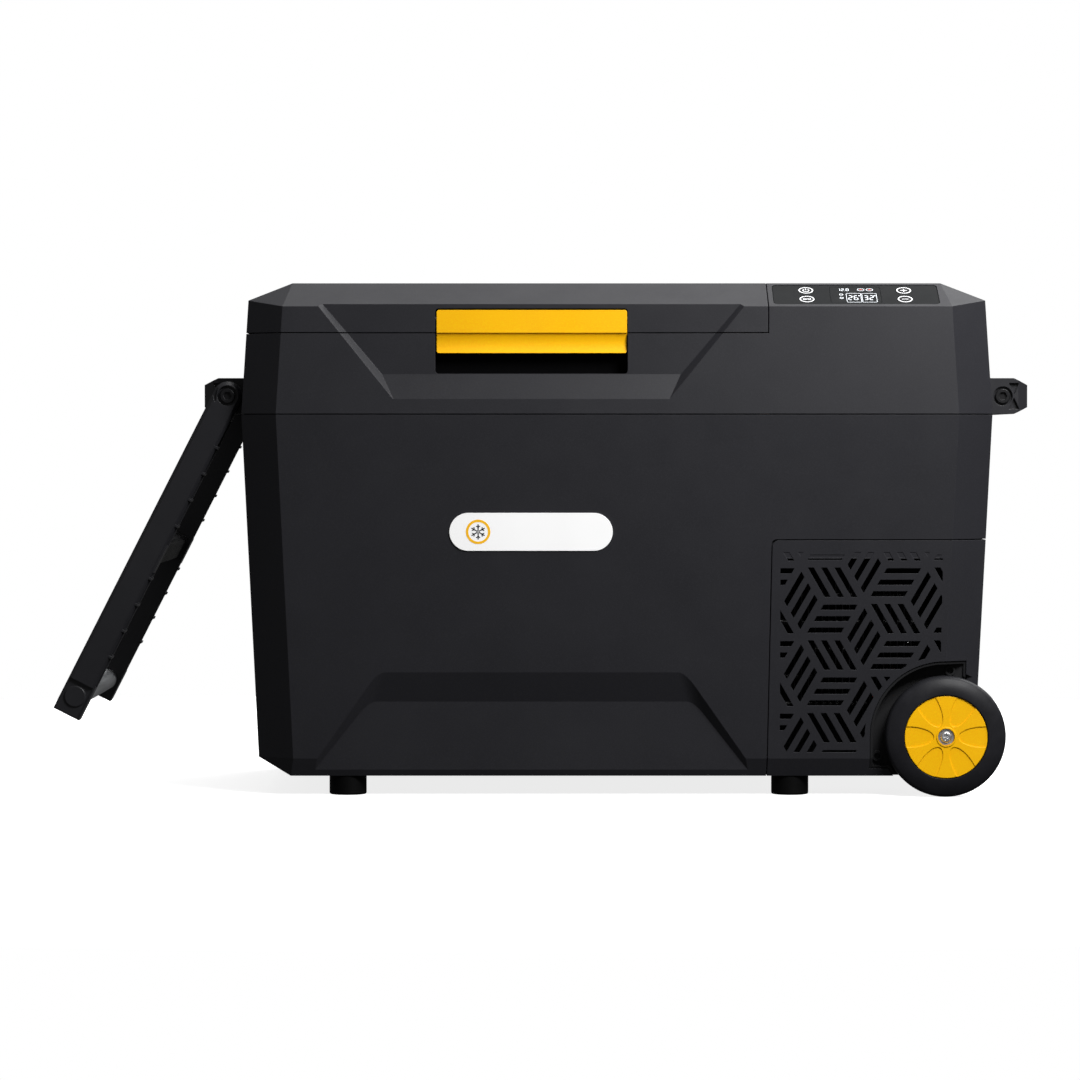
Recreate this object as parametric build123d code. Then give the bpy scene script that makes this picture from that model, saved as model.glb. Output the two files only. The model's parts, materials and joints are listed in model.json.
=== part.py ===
from build123d import *
import os
from math import cos, hypot, radians, sin

os.makedirs("parts", exist_ok=True)

# Compressor cooler fridge, millimetres. Front is -Y, the machine end is +X, the floor is Z = 0.
# The pieces are built about the middle of the casing and shifted along X when they are written,
# so that the origin is the bottom centre of the whole object.

# ---------------------------------------------------------------- casing levels above the floor
Z_BOTTOM = 17.0
Z_CHAMFER = 32.5
Z_COVER_TOP = 223.6
Z_MID_SEAM = 332.8
Z_LID_SEAM = 403.5
Z_FRONT_EDGE = 426.5
Z_SIDE_EDGE = 432.2
Z_TOP = 448.0

# ---------------------------------------------------------------- casing plan at the middle seam
HALF_LENGTH = 328.0
HALF_DEPTH = 185.0
CORNER_X = 31.5
CORNER_Y = 24.0
TAPER_LOW = 0.0466
TAPER_UP = 0.0604
BOTTOM_HALF_X = 285.0
BOTTOM_HALF_Y = 165.0
TOP_CORNER_X = 284.5
TOP_CORNER_RUN = 43.8

# ---------------------------------------------------------------- general sizes
WALL = 3.0
SEAM = 0.9
LID_END_X = 131.4
COVER_START_TOP = 134.7
COVER_START_BOTTOM = 130.5
BULKHEAD_X = 127.0
RECESS_X = -74.6

# ---------------------------------------------------------------- tub
TUB_LEFT = -284.0
TUB_RIGHT = 86.0
TUB_HALF_DEPTH = 143.0
TUB_FLOOR = 62.0
TUB_WALL = 2.0
TUB_RIM_Z = 400.5
DIVIDER_X = -62.0

# ---------------------------------------------------------------- wheels and feet
WHEEL_X = 285.6
WHEEL_Z = 52.5
WHEEL_R = 52.5
HUB_R = 35.9
WHEEL_OUT = 190.0
WHEEL_WIDTH = 27.0
AXLE_R = 6.0
ARCH_R = 65.0
ARCH_RIGHT = 305.8
ARCH_FLOOR = 158.0
ARCH_LOW = 23.5
WHEEL_CLEAR = 56.5
FOOT_R = 16.3
FOOT_X = (-235.6, 152.1)
FOOT_Y = 148.0

# ---------------------------------------------------------------- end handles and tow handle
HANDLE_Z_LOW = 333.3
HANDLE_Z_HIGH = 364.9
HANDLE_REACH = 363.6
HANDLE_HALF = 125.0
HANDLE_GAP = 95.0
PIVOT_X = -341.0
PIVOT_Z = 349.1
TOW_ANGLE = 27.0
TOW_LENGTH = 313.5
TOW_WIDTH = 25.0
TOW_ARM_IN = 126.5
TOW_ARM_OUT = 149.5
CROSSBAR_AT = 155.0
GRIP_AT = 296.0
GRIP_R = 9.5

# ---------------------------------------------------------------- latch
LATCH_X = (-157.0, 8.5)
LATCH_Z = (386.0, 423.4)
COVE_DEPTH = 2.3
POCKET_X = (-158.2, 9.2)
POCKET_Z = (368.0, 424.7)
POCKET_BACK = -160.0

# ---------------------------------------------------------------- control panel
PANEL_X = 208.4
PANEL_LENGTH = 144.0
PANEL_WIDTH = 40.0
WINDOW_LENGTH = 44.0
WINDOW_WIDTH = 33.0
KEY_R = 7.0
KEY_TRAVEL = 0.7
KEY_PLACES = {
    "power_button": (-42.8, 9.2),
    "mode_button": (-42.8, -9.2),
    "plus_button": (42.8, 9.2),
    "minus_button": (42.8, -9.2),
}

# ---------------------------------------------------------------- compressor and fan
COMPRESSOR = (193.0, 40.0)
COMPRESSOR_R = 47.0
COMPRESSOR_Z = (34.0, 168.0)
FOOT_CIRCLE_R = 50.0
COMPRESSOR_FEET = [
    (COMPRESSOR[0] + FOOT_CIRCLE_R * cos(radians(turn)), COMPRESSOR[1] + FOOT_CIRCLE_R * sin(radians(turn)))
    for turn in (90, 210, 330)
]
FAN = (206.0, -100.0, 126.0)
FAN_R = 55.0
DRIER = (262.0, 96.0)

# ---------------------------------------------------------------- lid hinge line
HINGE_Y = 185.6
HINGE_Z = 403.5
HINGE_R = 4.6
HINGE_PLACES = (-205.0, 55.0)
HANDLE_SCREW_X = 326.0
HANDLE_SCREW_Z = 357.0

# ---------------------------------------------------------------- placement of the origin
TOW_REACH = TOW_LENGTH * sin(radians(TOW_ANGLE)) + TOW_WIDTH / 2 * cos(radians(TOW_ANGLE))
SHIFT_X = -(HANDLE_REACH + PIVOT_X - TOW_REACH) / 2

FRONT_REAR = (-1, 1)


def save(name, *shapes):
    """Writes one node: its solids, moved to the object's own frame."""
    solids = [solid for shape in shapes for solid in shape.solids()]
    moved = [Pos(SHIFT_X, 0, 0) * solid for solid in solids]
    export_step(moved[0] if len(moved) == 1 else Compound(children=moved), f"parts/{name}.step")


def block(x0, x1, y0, y1, z0, z1):
    """A box between two corners."""
    centre = ((x0 + x1) / 2, (y0 + y1) / 2, (z0 + z1) / 2)
    return Pos(*centre) * Box(abs(x1 - x0), abs(y1 - y0), abs(z1 - z0))


def rod(x, y, z, radius, length, axis="Y"):
    """A cylinder centred on a point, along one axis."""
    turn = {"X": Rot(0, 90, 0), "Y": Rot(90, 0, 0), "Z": Rot(0, 0, 0)}[axis]
    return Pos(x, y, z) * turn * Cylinder(radius, length)


def tube(x, y, z, outer, inner, length, axis="Y"):
    """A hollow cylinder centred on a point."""
    return rod(x, y, z, outer, length, axis) - rod(x, y, z, inner, length + 2, axis)


def kept_inside(shape, planes):
    """What is left of a shape behind every one of the outward planes."""
    for plane in planes:
        shape = split(shape, bisect_by=plane, keep=Keep.BOTTOM)
    return shape


def facing(points, inside):
    """A plane through three points that looks away from a fourth."""
    first, second, third = (Vector(*point) for point in points)
    normal = (second - first).cross(third - first).normalized()
    if (Vector(*inside) - first).dot(normal) > 0:
        normal = -normal
    return Plane(origin=first, z_dir=normal)


def moved_in(planes, inset):
    """The same planes, each moved against its normal."""
    return [Plane(origin=plane.origin - plane.z_dir * inset, z_dir=plane.z_dir) for plane in planes]


# ---------------------------------------------------------------- casing forms
MIDDLE = (0, 0, Z_COVER_TOP)


def plan_sides():
    """Outward plan normal of each of the eight walls, and its distance from the middle."""
    corner = hypot(CORNER_X, CORNER_Y)
    corner_n = (CORNER_Y / corner, CORNER_X / corner)
    corner_d = corner_n[0] * HALF_LENGTH + corner_n[1] * (HALF_DEPTH - CORNER_Y)
    sides = []
    for sx in (-1, 1):
        sides.append((sx, 0.0, HALF_LENGTH))
        sides.append((0.0, sx, HALF_DEPTH))
        for sy in (-1, 1):
            sides.append((sx * corner_n[0], sy * corner_n[1], corner_d))
    return sides


def wall_planes(taper, inset):
    """The eight leaning walls; a positive taper narrows the casing downwards."""
    planes = []
    for nx, ny, distance in plan_sides():
        slope = taper * (abs(nx) + abs(ny))
        normal = Vector(nx, ny, -slope).normalized()
        point = Vector(nx * distance, ny * distance, Z_MID_SEAM) - normal * inset
        planes.append(Plane(origin=point, z_dir=normal))
    return planes


def wall_y(z):
    """Distance of the front wall from the middle plane at a height."""
    if z < Z_MID_SEAM:
        return HALF_DEPTH - TAPER_LOW * (Z_MID_SEAM - z)
    return HALF_DEPTH - TAPER_UP * (z - Z_MID_SEAM)


def wall_x(z):
    """Distance of the end walls from the middle plane at a height."""
    return wall_y(z) + HALF_LENGTH - HALF_DEPTH


def chamfer_planes(inset):
    """The facets between the walls and the flat bottom, with a triangle at each corner."""
    front_y = wall_y(Z_CHAMFER)
    side_x = wall_x(Z_CHAMFER)
    planes = []
    for s in (-1, 1):
        front = [(0, s * front_y, Z_CHAMFER), (10, s * front_y, Z_CHAMFER), (0, s * BOTTOM_HALF_Y, Z_BOTTOM)]
        side = [(s * side_x, 0, Z_CHAMFER), (s * side_x, 10, Z_CHAMFER), (s * BOTTOM_HALF_X, 0, Z_BOTTOM)]
        planes += [facing(front, MIDDLE), facing(side, MIDDLE)]
        for t in (-1, 1):
            corner = [
                (s * (side_x - CORNER_X), t * front_y, Z_CHAMFER),
                (s * side_x, t * (front_y - CORNER_Y), Z_CHAMFER),
                (s * BOTTOM_HALF_X, t * BOTTOM_HALF_Y, Z_BOTTOM),
            ]
            planes.append(facing(corner, MIDDLE))
    return moved_in(planes, inset)


def top_planes(inset):
    """The sloped facets round the top and the four corner facets."""
    front_y = wall_y(Z_FRONT_EDGE)
    flat_y = front_y - TOP_CORNER_RUN
    side_x = wall_x(Z_SIDE_EDGE)
    side_corner_y = wall_y(Z_SIDE_EDGE) - CORNER_Y
    front_corner_x = wall_x(Z_FRONT_EDGE) - CORNER_X
    planes = []
    for s in (-1, 1):
        front = [(0, s * front_y, Z_FRONT_EDGE), (10, s * front_y, Z_FRONT_EDGE), (0, s * flat_y, Z_TOP)]
        side = [(s * side_x, 0, Z_SIDE_EDGE), (s * side_x, 10, Z_SIDE_EDGE), (s * TOP_CORNER_X, 0, Z_TOP)]
        planes += [facing(front, MIDDLE), facing(side, MIDDLE)]
        for t in (-1, 1):
            corner = [
                (s * front_corner_x, t * front_y, Z_FRONT_EDGE),
                (s * side_x, t * side_corner_y, Z_SIDE_EDGE),
                (s * TOP_CORNER_X, t * flat_y, Z_TOP),
            ]
            planes.append(facing(corner, MIDDLE))
    return moved_in(planes, inset)


def lower_form(inset=0.0, z_low=Z_BOTTOM, z_high=Z_MID_SEAM):
    """The casing below the middle seam, as one solid, moved in by an inset."""
    start = block(-400, 400, -250, 250, max(z_low, Z_BOTTOM + inset), z_high)
    return kept_inside(start, wall_planes(TAPER_LOW, inset) + chamfer_planes(inset))


def upper_form(inset=0.0, z_low=Z_MID_SEAM, z_high=Z_TOP):
    """The casing above the middle seam, as one solid, moved in by an inset."""
    start = block(-400, 400, -250, 250, z_low, min(z_high, Z_TOP - inset))
    return kept_inside(start, wall_planes(-TAPER_UP, inset) + top_planes(inset))


LOWER_OUT = lower_form()
LOWER_IN = lower_form(WALL)
UPPER_OUT = upper_form()
UPPER_IN = upper_form(WALL)


# ---------------------------------------------------------------- recesses in the front
def latch_recess(grow):
    """The inverted trapezoid recess round the latch, over the lid and the collar."""
    top_z, low_z, floor_z = Z_FRONT_EDGE, 346.0, 367.6
    top_y, floor_y = -wall_y(top_z) + 4, -wall_y(floor_z) + 6
    inside = (RECESS_X, top_y - 1, 400)
    planes = [facing([(0, top_y, top_z), (9, top_y, top_z), (0, floor_y, floor_z)], inside)]
    low_y = -wall_y(low_z)
    planes.append(facing([(0, low_y, low_z), (9, low_y, low_z), (0, floor_y, floor_z)], inside))
    for s in (-1, 1):
        edge = [
            (RECESS_X + s * 185, -wall_y(top_z), top_z),
            (RECESS_X + s * 120, -wall_y(low_z), low_z),
            (RECESS_X + s * 180, top_y, top_z),
        ]
        planes.append(facing(edge, inside))
    start = block(-400, 400, -260, -150, 300, 470)
    return kept_inside(start, moved_in(planes, -grow))


def front_recess(grow):
    """The low trapezoid recess that opens onto the bottom chamfer."""
    low_z, top_z, floor_z = Z_CHAMFER, 108.0, 82.0
    low_y, floor_y = -wall_y(low_z) + 4, -wall_y(floor_z) + 7
    inside = (RECESS_X, low_y - 1, 50)
    floor = facing([(0, low_y, low_z), (9, low_y, low_z), (0, floor_y, floor_z)], inside)
    roof = facing([(0, -wall_y(top_z), top_z), (9, -wall_y(top_z), top_z), (0, floor_y, floor_z)], inside)
    planes = [roof]
    for s in (-1, 1):
        edge = [
            (RECESS_X + s * 187, -wall_y(low_z), low_z),
            (RECESS_X + s * 134, -wall_y(top_z), top_z),
            (RECESS_X + s * 181, low_y, low_z),
        ]
        planes.append(facing(edge, inside))
    start = kept_inside(block(-400, 400, -260, -120, 0, 200), moved_in(planes, -grow))
    corners = []
    for s in (-1, 1):
        spot = Vertex(RECESS_X + s * (134 + grow), -wall_y(top_z), top_z)
        corners.append(start.edges().sort_by(lambda e: e.distance_to(spot))[0])
    start = fillet(corners, 22 + grow)
    return kept_inside(start, moved_in([floor], -grow))


def latch_pocket(grow):
    """The dark pocket behind the latch, half in the lid and half in the collar."""
    x0, x1 = POCKET_X
    z0, z1 = POCKET_Z
    solid = block(x0 - grow, x1 + grow, -200, POCKET_BACK + grow, z0 - grow, z1 + grow)
    return fillet(solid.edges().filter_by(Axis.Y), 3)


LOWER_SKIN_OUT = LOWER_OUT - front_recess(0)
LOWER_SKIN_IN = LOWER_IN - front_recess(WALL)
UPPER_SKIN_OUT = UPPER_OUT - latch_recess(0) - latch_pocket(0)
UPPER_SKIN_IN = UPPER_IN - latch_recess(WALL) - latch_pocket(WALL)


# ---------------------------------------------------------------- machine cover, grille, wheel arches
def cover_region(gap):
    """Everything that belongs to the machine cover: right of its leaning seam and under its top seam."""
    corner_r = max(5 + gap, 2)
    outline = Polyline(
        (COVER_START_BOTTOM + gap, 0),
        (COVER_START_TOP + gap, Z_COVER_TOP - gap),
        (400, Z_COVER_TOP - gap),
        (400, 0),
        close=True,
    )
    face = make_face(outline)
    corner = face.vertices().sort_by(lambda v: abs(v.X - COVER_START_TOP) + abs(v.Y - Z_COVER_TOP))[0]
    face = fillet(corner, corner_r)
    return extrude(Plane.XZ * face, 260, both=True)


def arch_form(grow, y_in, y_out):
    """The wheel arch opening in front view, between two distances from the middle plane."""
    depth = y_out - y_in
    mid = (y_in + y_out) / 2
    right = ARCH_RIGHT + grow
    left = WHEEL_X - ARCH_R - grow
    y0, y1 = sorted((y_in, y_out))
    round_part = rod(WHEEL_X, mid, WHEEL_Z, ARCH_R + grow, abs(depth))
    round_part &= block(left, right, y0, y1, WHEEL_Z, Z_COVER_TOP)
    form = round_part + block(left, right, y0, y1, ARCH_LOW - grow, WHEEL_Z)
    form += block(WHEEL_X, right, y0, y1, WHEEL_Z, WHEEL_Z + ARCH_R + grow)
    form += rod(WHEEL_X, mid, WHEEL_Z, WHEEL_CLEAR + grow, abs(depth))
    return form


CELL = 36.7
CELL_CENTRE = (178.2, 170.7)
SLOT_PITCH = 10.0
SLOT_WIDTH = 4.5
SLOT_MARGIN = 3.5


def slot_outlines():
    """The slots of the tumbling-block grille, as corner lists in front view."""
    height = CELL * sin(radians(60))
    outlines = []
    for column in range(-2, 3):
        for row in range(-4, 4):
            centre_x = CELL_CENTRE[0] + 1.5 * CELL * column
            centre_z = CELL_CENTRE[1] + height * (2 * row + column % 2)
            for along, across in ((240, 120), (120, 0), (0, 240)):
                for place in (-1, 0, 1):
                    middle = (height / 2 + place * SLOT_PITCH) / sin(radians(60))
                    half = SLOT_WIDTH / 2 / sin(radians(60))
                    corners = []
                    for a, b in (
                        (SLOT_MARGIN, middle - half),
                        (CELL - SLOT_MARGIN, middle - half),
                        (CELL - SLOT_MARGIN, middle + half),
                        (SLOT_MARGIN, middle + half),
                    ):
                        x = centre_x + a * cos(radians(along)) + b * cos(radians(across))
                        z = centre_z + a * sin(radians(along)) + b * sin(radians(across))
                        corners.append((x, z))
                    outlines.append(corners)
    return outlines


def grille_area(z_low, z_high, side):
    """Where the grille is pierced: a panel of the front wall, clear of the wheel arch."""
    panel = Polyline((142, z_low), (142, z_high), (283.5, z_high), (280.5, z_low), close=True)
    area = extrude(Plane.XZ * make_face(panel), 200, both=True)
    area -= rod(WHEEL_X, 0, WHEEL_Z, ARCH_R + 4.5, 500)
    area -= block(WHEEL_X - ARCH_R - 4.5, 400, -250, 250, 0, WHEEL_Z)
    return area & block(100, 400, *sorted((side * 100, side * 250)), 0, 300)


def grille_slots(side, z_low, z_high):
    """The slot solids that pierce one wall of the cover."""
    area = grille_area(z_low, z_high, side)
    slots = []
    for corners in slot_outlines():
        xs = [x for x, z in corners]
        zs = [z for x, z in corners]
        if max(xs) < 142 or min(xs) > 284 or max(zs) < z_low or min(zs) > z_high:
            continue
        face = make_face(Polyline(*corners, close=True))
        slot = extrude(Plane.XZ * face, 260, both=True) & area
        slots += [piece for piece in slot.solids() if piece.volume > 400]
    return slots


# ---------------------------------------------------------------- control panel
SLOPE_MIDDLE = 0.51
PANEL_PLANE = Plane(
    origin=(
        PANEL_X,
        -wall_y(Z_FRONT_EDGE) + TOP_CORNER_RUN * SLOPE_MIDDLE,
        Z_FRONT_EDGE + (Z_TOP - Z_FRONT_EDGE) * SLOPE_MIDDLE,
    ),
    x_dir=(1, 0, 0),
    z_dir=(0, Z_FRONT_EDGE - Z_TOP, TOP_CORNER_RUN),
)


def panel_slab(length, width, low, high, x=0.0, v=0.0, corner=4.0):
    """A round-cornered slab on the sloped control facet, between two heights over the facet."""
    slab = extrude(RectangleRounded(length, width, corner), high - low)
    return PANEL_PLANE * Pos(x, v, low) * slab


def panel_rod(x, v, radius, low, high):
    """A cylinder square to the sloped control facet."""
    return PANEL_PLANE * Pos(x, v, (low + high) / 2) * Cylinder(radius, high - low)


def make_control_bezel():
    bezel = panel_slab(PANEL_LENGTH, PANEL_WIDTH, -3.0, -0.4)
    bezel += panel_slab(PANEL_LENGTH + 2, PANEL_WIDTH + 3, -5.0, -3.0)
    bezel -= panel_slab(WINDOW_LENGTH + 0.4, WINDOW_WIDTH + 0.4, -6, 1, corner=2)
    for x, v in KEY_PLACES.values():
        bezel -= panel_rod(x, v, KEY_R + 0.25, -6, 1)
    return bezel


def make_display_window():
    return panel_slab(WINDOW_LENGTH, WINDOW_WIDTH, -3.0, -0.45, corner=1.8)


def make_key(x, v):
    """A round key with a flange that keeps it behind the bezel and a stem over its switch."""
    key = panel_rod(x, v, KEY_R, -4.9, -0.3)
    key += panel_rod(x, v, KEY_R + 1.2, -6.2, -5.1)
    key += panel_rod(x, v, KEY_R - 1.5, -5.5, -4.5)
    key += panel_rod(x, v, 2.0, -9.2, -6.0)
    return key


def make_display_board():
    board = panel_slab(126, 34, -12.6, -11.0, corner=1)
    board += panel_slab(WINDOW_LENGTH - 2, WINDOW_WIDTH - 4, -11.1, -4.6, corner=1)
    for x, v in KEY_PLACES.values():
        board += PANEL_PLANE * Pos(x, v, -10.6) * Box(6, 6, 1.2)
    for x in (-56, 56):
        board += panel_rod(x, -12, 2.4, -11.2, -5.1)
    return board


# ---------------------------------------------------------------- casing nodes
def tub_form(grow, z_low, z_high):
    """The tub as a block with rounded upright edges, grown sideways from its inside."""
    solid = block(
        TUB_LEFT - grow, TUB_RIGHT + grow, -TUB_HALF_DEPTH - grow, TUB_HALF_DEPTH + grow, z_low, z_high
    )
    return fillet(solid.edges().filter_by(Axis.Z), 18 + grow)


FOOT_PLACES = [(x, s * FOOT_Y) for x in FOOT_X for s in FRONT_REAR]
DRAIN_X = -200.0
INLET = (236.0, 290.0)


def cover_lip():
    """The shell's strip behind the seam of the machine cover, which nothing shows through."""
    reach = cover_region(-7) & block(-400, 400, -250, 250, Z_CHAMFER + 2, Z_MID_SEAM)
    root = (lower_form(WALL - 0.5) - lower_form(2 * WALL)) & reach
    tongue = (lower_form(WALL + 0.15) - lower_form(2 * WALL)) & reach
    return (root - cover_region(-SEAM / 2)) + (tongue - cover_region(6))


def make_lower_shell():
    shell = LOWER_SKIN_OUT - LOWER_SKIN_IN
    shell -= cover_region(-SEAM / 2)
    shell -= block(-400, 400, -250, 250, Z_MID_SEAM - SEAM / 2, Z_MID_SEAM + 9)
    shell += cover_lip()
    shell += LOWER_SKIN_IN & block(BULKHEAD_X - WALL, BULKHEAD_X, -250, 250, 0, Z_MID_SEAM - SEAM / 2)
    shell -= rod(BULKHEAD_X, 0, PIPE_LEVEL, 4, 20, "X")
    shell -= rod(INLET[0], wall_y(INLET[1]), INLET[1], 9.1, 20)
    shell -= rod(DRAIN_X, 0, Z_BOTTOM, 9.1, 20, "Z")
    for x, y in FOOT_PLACES[:2]:
        shell -= rod(x, y, Z_BOTTOM, 3.1, 20, "Z")
    return shell


COVER_SCREWS = [(x, s * 118) for x in (150, 205) for s in FRONT_REAR]
GRILLE_LOW = 38.0
GRILLE_HIGH = 207.4
ENGRAVED_HIGH = 212.8
REAR_GRILLE_HIGH = 96.0


def make_machine_cover():
    cover = (LOWER_OUT - LOWER_IN) & cover_region(SEAM / 2)
    cover -= block(146, 276, -104, 104, 0, 25)
    for side in FRONT_REAR:
        cover -= arch_form(0, side * (ARCH_FLOOR - 3.4), side * 250)
        pierced_high = GRILLE_HIGH if side < 0 else REAR_GRILLE_HIGH
        cover -= grille_slots(side, GRILLE_LOW, pierced_high)
        for slot in grille_slots(side, pierced_high + 0.3, ENGRAVED_HIGH):
            cover -= slot - lower_form(0.35)
    for x, y in COVER_SCREWS:
        cover -= rod(x, y, Z_BOTTOM, 1.6, 20, "Z")
        cover -= rod(x, y, Z_BOTTOM, 3.2, 3.0, "Z")
    for x, y in FOOT_PLACES[2:]:
        cover -= rod(x, y, Z_BOTTOM, 3.1, 20, "Z")
    return cover


def make_base_pan():
    pan = block(134, 278, -138, 138, 20.05, 22.0)
    pan += block(134, 136, -138, 138, 20.05, 30)
    for x, y in COVER_SCREWS:
        pan -= rod(x, y, 21, 1.2, 20, "Z")
    for x, y in FOOT_PLACES[2:]:
        pan -= rod(x, y, 21, 5, 20, "Z")
    for x, y in COMPRESSOR_FEET:
        pan -= rod(x, y, 21, 3.1, 20, "Z")
    return pan


def make_cover_screws():
    screws = []
    for x, y in COVER_SCREWS:
        screw = rod(x, y, Z_BOTTOM + 0.75, 3.0, 1.4, "Z")
        screw += rod(x, y, Z_BOTTOM + 5.5, 1.15, 9, "Z")
        screws.append(screw - block(x - 2, x + 2, y - 0.3, y + 0.3, 0, Z_BOTTOM + 0.5))
    return screws


def make_wheel_arch(side):
    """The black insert behind a wheel: a rim that follows the opening and a floor with two screw bosses."""
    rim = arch_form(-0.5, side * ARCH_FLOOR, side * 250) - arch_form(-2.6, side * ARCH_FLOOR, side * 250)
    rim &= lower_form(1.2)
    floor_in = side * (ARCH_FLOOR - 3)
    floor = arch_form(-0.5, floor_in, side * ARCH_FLOOR) & lower_form(3.3)
    arch = rim + floor
    for x, z in ((291.5, 108.6), (227.9, 34.0)):
        arch += tube(x, side * (ARCH_FLOOR + 1), z, 4.5, 2.8, 3.2)
        arch -= rod(x, side * ARCH_FLOOR, z, 2.8, 3)
    arch -= rod(WHEEL_X, side * ARCH_FLOOR, WHEEL_Z, AXLE_R + 0.05, 20)
    return arch


LIP_DOWN = 7.8
LIP_UP = 5.2


def make_upper_collar():
    collar = UPPER_SKIN_OUT - UPPER_SKIN_IN
    collar -= block(-400, LID_END_X + SEAM / 2, -250, 250, Z_LID_SEAM - SEAM / 2, 470)
    collar -= block(-400, 400, -250, 250, Z_MID_SEAM - 1, Z_MID_SEAM + SEAM / 2)
    wall_x0 = LID_END_X + SEAM / 2
    low = Z_MID_SEAM + SEAM / 2
    collar += UPPER_SKIN_IN & block(wall_x0, wall_x0 + WALL, -250, 250, low, Z_TOP)
    for x0, x1 in ((-400, BULKHEAD_X - WALL - 0.2), (wall_x0, 400)):
        below = block(x0, x1, -250, 250, Z_MID_SEAM - LIP_DOWN, Z_MID_SEAM)
        above = block(x0, x1, -250, 250, Z_MID_SEAM, Z_MID_SEAM + LIP_UP)
        collar += (lower_form(WALL + 0.1) - lower_form(2 * WALL)) & below
        collar += (upper_form(WALL - 0.5) - upper_form(2 * WALL)) & above
    collar -= panel_slab(PANEL_LENGTH + 0.8, PANEL_WIDTH + 0.8, -6, 4)
    for end in (-1, 1):
        for s in FRONT_REAR:
            collar -= rod(end * HANDLE_SCREW_X, s * 112, HANDLE_SCREW_Z, 2.6, 30, "X")
    return collar


# ---------------------------------------------------------------- tub and insulation
EVAPORATOR_LEVELS = (92.0, 142.0, 192.0, 242.0)
EVAPORATOR_R = 3.5
PIPE_LEVEL = 242.0


def make_tub_liner():
    liner = tub_form(TUB_WALL, TUB_FLOOR - TUB_WALL, TUB_RIM_Z) - tub_form(0, TUB_FLOOR, TUB_RIM_Z + 5)
    flange = upper_form(WALL + 0.3, TUB_RIM_Z - 2, TUB_RIM_Z) & block(-400, LID_END_X - 1, -250, 250, 0, 500)
    flange -= latch_recess(WALL + 0.3)
    flange -= latch_pocket(WALL + 0.3)
    liner += flange - tub_form(0, 300, 500)
    for s in FRONT_REAR:
        y0, y1 = sorted((s * (TUB_HALF_DEPTH + 0.5), s * (TUB_HALF_DEPTH - 4)))
        for x in (DIVIDER_X - 4.3, DIVIDER_X + 2.1):
            liner += block(x, x + 2.2, y0, y1, TUB_FLOOR, TUB_RIM_Z - 30)
    liner -= rod(DRAIN_X, 0, TUB_FLOOR, 7.1, 10, "Z")
    return liner


def make_tub_foam():
    low = LOWER_SKIN_IN & block(-400, BULKHEAD_X - WALL, -250, 250, 0, Z_MID_SEAM)
    high = UPPER_SKIN_IN & block(-400, LID_END_X + SEAM / 2, -250, 250, Z_MID_SEAM, TUB_RIM_Z - 2)
    foam = low + high
    lip_room = block(-400, BULKHEAD_X, -250, 250, Z_MID_SEAM - LIP_DOWN - 0.2, Z_MID_SEAM)
    foam -= (lower_form(WALL - 1) - lower_form(2 * WALL + 0.2)) & lip_room
    lip_room = block(-400, BULKHEAD_X, -250, 250, Z_MID_SEAM, Z_MID_SEAM + LIP_UP + 0.2)
    foam -= (upper_form(WALL - 1) - upper_form(2 * WALL + 0.2)) & lip_room
    foam -= tub_form(TUB_WALL, TUB_FLOOR - TUB_WALL, 500)
    for level in EVAPORATOR_LEVELS:
        foam -= tub_form(TUB_WALL + 9, level - 5, level + 5)
    riser_low, riser_high = EVAPORATOR_LEVELS[0] - 5, EVAPORATOR_LEVELS[-1] + 5
    foam -= block(TUB_RIGHT, TUB_RIGHT + TUB_WALL + 9, -14, 14, riser_low, riser_high)
    foam -= rod(DRAIN_X, 0, 40, 9.2, 60, "Z")
    for x, y in FOOT_PLACES[:2]:
        foam -= rod(x, y, Z_BOTTOM + 3, 3.3, 14, "Z")
    foam -= block(96, 130, -5, 5, PIPE_LEVEL - 5, PIPE_LEVEL + 5)
    for end in (-1, 1):
        for s in FRONT_REAR:
            foam -= rod(end * HANDLE_SCREW_X, s * 112, HANDLE_SCREW_Z, 5.0, 44, "X")
    return foam


def make_evaporator():
    """One tube that rings the tub four times, joined by two upright runs."""
    grow = TUB_WALL + EVAPORATOR_R + 0.3
    size_x = TUB_RIGHT - TUB_LEFT + 2 * grow
    size_y = 2 * (TUB_HALF_DEPTH + grow)
    middle_x = (TUB_LEFT + TUB_RIGHT) / 2
    coil = None
    for level in EVAPORATOR_LEVELS:
        path = (Pos(middle_x, 0, level) * RectangleRounded(size_x, size_y, 24)).wire()
        start = Plane(origin=path @ 0, z_dir=path % 0)
        ring = sweep(start * Circle(EVAPORATOR_R), path=path)
        coil = ring if coil is None else coil + ring
    run_x = TUB_RIGHT + grow
    height = EVAPORATOR_LEVELS[-1] - EVAPORATOR_LEVELS[0]
    for y in (-9, 9):
        coil += rod(run_x, y, EVAPORATOR_LEVELS[0] + height / 2, EVAPORATOR_R, height, "Z")
    return coil


def make_zone_divider():
    half_y = TUB_HALF_DEPTH - 0.4
    plate = block(DIVIDER_X - 1.9, DIVIDER_X + 1.9, -half_y, half_y, TUB_FLOOR + 0.2, TUB_RIM_Z - 32)
    plate -= rod(DIVIDER_X, 0, TUB_RIM_Z - 52, 12, 10, "X")
    return plate


def make_drain_plug():
    plug = rod(DRAIN_X, 0, 40, 6.9, 44, "Z")
    plug += rod(DRAIN_X, 0, TUB_FLOOR + 1.1, 9.0, 2.2, "Z")
    plug += rod(DRAIN_X, 0, Z_BOTTOM + 1.5, 8.9, 2.0, "Z")
    return plug


def make_interior_lamp():
    return block(TUB_RIGHT - 5, TUB_RIGHT - 0.05, -22, 22, 340, 356)


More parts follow.
